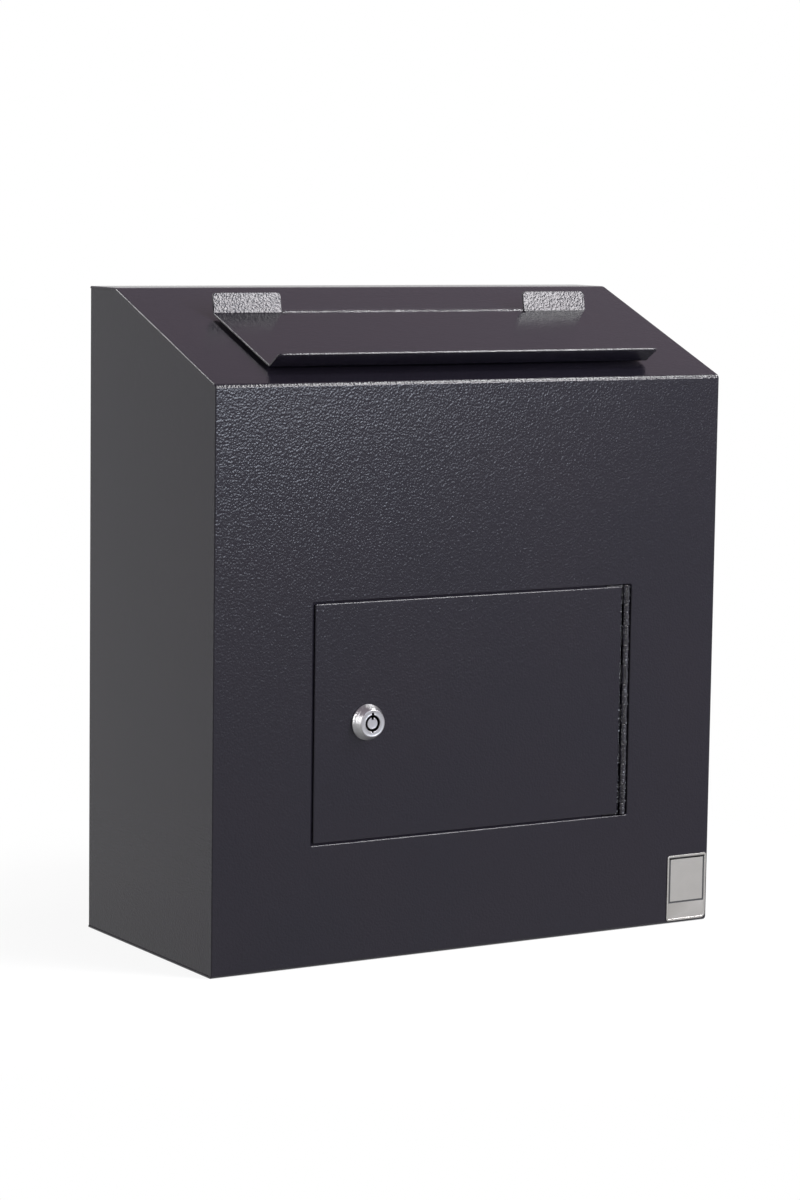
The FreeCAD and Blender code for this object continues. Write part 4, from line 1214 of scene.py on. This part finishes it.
class DROPBOX_OT_stage(Operator):
    """Lays the floor, hangs the lamps and sets up the camera"""
    bl_idname = "dropbox.stage"
    bl_label = "Stage"

    def execute(self, context):
        stage = settings("stage")
        self.lay_floor()
        self.light_air(stage)
        centre = Vector((0, 0, 0.2))
        white = (1, 1, 1)
        self.hang_softbox("key", stage.key_light, stage.key_tint, centre, 33, 19.5, 2.6, 0.7, 0.44)
        self.hang_softbox("front", stage.front_light, stage.front_tint, centre, 18, 7.5, 2.6, 1.0, 0.3)
        self.hang_softbox("high", stage.high_light, white, centre, 38, 36.5, 2.7, 0.34, 0.55)
        self.hang_softbox("highest", stage.high_light, white, centre, 53, 49, 2.75, 0.7, 0.42)
        self.hang_softbox("side", stage.side_light, white, centre, -78, 20, 2.2, 0.24, 1.3)
        self.hang_softbox("over", stage.over_light, white, centre, 80, 55, 2.4, 0.26, 0.26)
        self.hang_softbox("rim", stage.rim_light, white, centre, -138, 38, 2.2, 0.36, 1.4)
        self.set_camera(context, stage)
        context.scene.view_settings.view_transform = "Standard"
        return {"FINISHED"}

    def lay_floor(self):
        clear_selection()
        bpy.ops.mesh.primitive_plane_add(size=40, location=(0, 0, 0))
        floor = named("floor")
        material, shader = finish("pale floor")
        place = shader.place()
        cloud = shader.noise(place, 0.5, 2)
        colour = settings("colours").floor
        lit = shader.node("ShaderNodeBsdfPrincipled", sockets={
            "Base Color": shader.mix(cloud, opaque(colour), opaque([value * 0.97 for value in colour])),
            "Roughness": 0.7, "Specular IOR Level": 0.1})
        white = shader.node("ShaderNodeEmission", sockets={"Color": (1, 1, 1, 1), "Strength": 1.0})
        away = shader.node("ShaderNodeVectorMath", {"operation": "LENGTH"}, {0: place}, output="Value")
        fade = shader.rise(away, 0.2, 0.45, 0.85, 1.0)
        mixed = shader.node("ShaderNodeMixShader", sockets={0: shader.seen() * fade, 1: lit, 2: white})
        shader.node("ShaderNodeOutputMaterial", sockets={"Surface": mixed})
        floor.data.materials.append(material)

    def light_air(self, stage):
        """A white backdrop under a dim ceiling for what looks at it, softer light for matt surfaces."""
        world = bpy.data.worlds.new("studio air")
        bpy.context.scene.world = world
        shader = Shader(world)
        soft = shader.node("ShaderNodeBackground", sockets={
            "Color": (1, 1, 1, 1), "Strength": stage.air_light})
        upwards = shader.axis(shader.place(), "Z")
        colour = shader.mix(shader.rise(upwards, 0.1, 0.5), (1, 1, 1, 1), opaque(stage.ceiling))
        white = shader.node("ShaderNodeBackground", sockets={"Color": colour, "Strength": 1.0})
        mixed = shader.node("ShaderNodeMixShader", sockets={0: shader.seen(), 1: soft, 2: white})
        shader.node("ShaderNodeOutputWorld", sockets={"Surface": mixed})

    def hang_softbox(self, name, glow, colour, centre, heading, height, distance, width, tall):
        """A softbox that faces the object; heading is degrees to the right of the front."""
        heading = math.radians(heading)
        height = math.radians(height)
        away = Vector((math.sin(heading) * math.cos(height), -math.cos(heading) * math.cos(height),
                       math.sin(height)))
        clear_selection()
        bpy.ops.object.light_add(type="AREA", location=centre + away * distance)
        lamp = bpy.context.object
        lamp.name = name
        lamp.rotation_euler = away.to_track_quat("Z", "Y").to_euler()
        lamp.data.shape = "RECTANGLE"
        lamp.data.size = width
        lamp.data.size_y = tall
        lamp.data.energy = glow * math.pi * width * tall
        lamp.data.color = colour

    def set_camera(self, context, stage):
        clear_selection()
        bpy.ops.object.camera_add()
        camera = context.object
        camera.name = "camera"
        camera.data.lens = stage.camera_lens
        camera.data.sensor_width = 36
        camera.matrix_world = (
            Matrix.Translation(stage.camera_place)
            @ Matrix.Rotation(-stage.camera_heading, 4, "Z")
            @ Matrix.Rotation(math.pi / 2 + stage.camera_tilt, 4, "X")
            @ Matrix.Rotation(stage.camera_roll, 4, "Z")
        )
        context.scene.camera = camera


class DROPBOX_PT_panel(Panel):
    """Lists the steps that build the drop box"""
    bl_idname = "DROPBOX_PT_panel"
    bl_label = "Drop Box"
    bl_space_type = "VIEW_3D"
    bl_region_type = "UI"
    bl_category = "Drop Box"

    def draw(self, context):
        for operator in OPERATORS:
            self.layout.operator(operator.bl_idname)


GROUPS = {
    "case": CaseSizes,
    "flap": FlapSizes,
    "hinge": HingeSizes,
    "lock": LockSizes,
    "plate": PlateSizes,
    "colours": Colours,
    "stage": StageSizes,
}
OPERATORS = (
    DROPBOX_OT_case_sheet,
    DROPBOX_OT_side_plates,
    DROPBOX_OT_door_skin,
    DROPBOX_OT_drop_flap,
    DROPBOX_OT_hinges,
    DROPBOX_OT_lock,
    DROPBOX_OT_lock_nuts,
    DROPBOX_OT_blank_plate,
    DROPBOX_OT_inner_parts,
    DROPBOX_OT_stage,
)


def register():
    for group in (*GROUPS.values(), *OPERATORS, DROPBOX_PT_panel):
        bpy.utils.register_class(group)
    for part, group in GROUPS.items():
        setattr(bpy.types.Scene, f"drop_box_{part}", PointerProperty(type=group))


def unregister():
    for part in GROUPS:
        delattr(bpy.types.Scene, f"drop_box_{part}")
    for group in (DROPBOX_PT_panel, *reversed(OPERATORS), *reversed(GROUPS.values())):
        bpy.utils.unregister_class(group)


def main():
    register()
    bpy.ops.dropbox.case_sheet()
    bpy.ops.dropbox.side_plates()
    bpy.ops.dropbox.door_skin()
    bpy.ops.dropbox.drop_flap()
    bpy.ops.dropbox.hinges()
    bpy.ops.dropbox.lock()
    bpy.ops.dropbox.lock_nuts()
    bpy.ops.dropbox.blank_plate()
    bpy.ops.dropbox.inner_parts()
    bpy.ops.dropbox.stage()


if __name__ == "__main__":
    main()
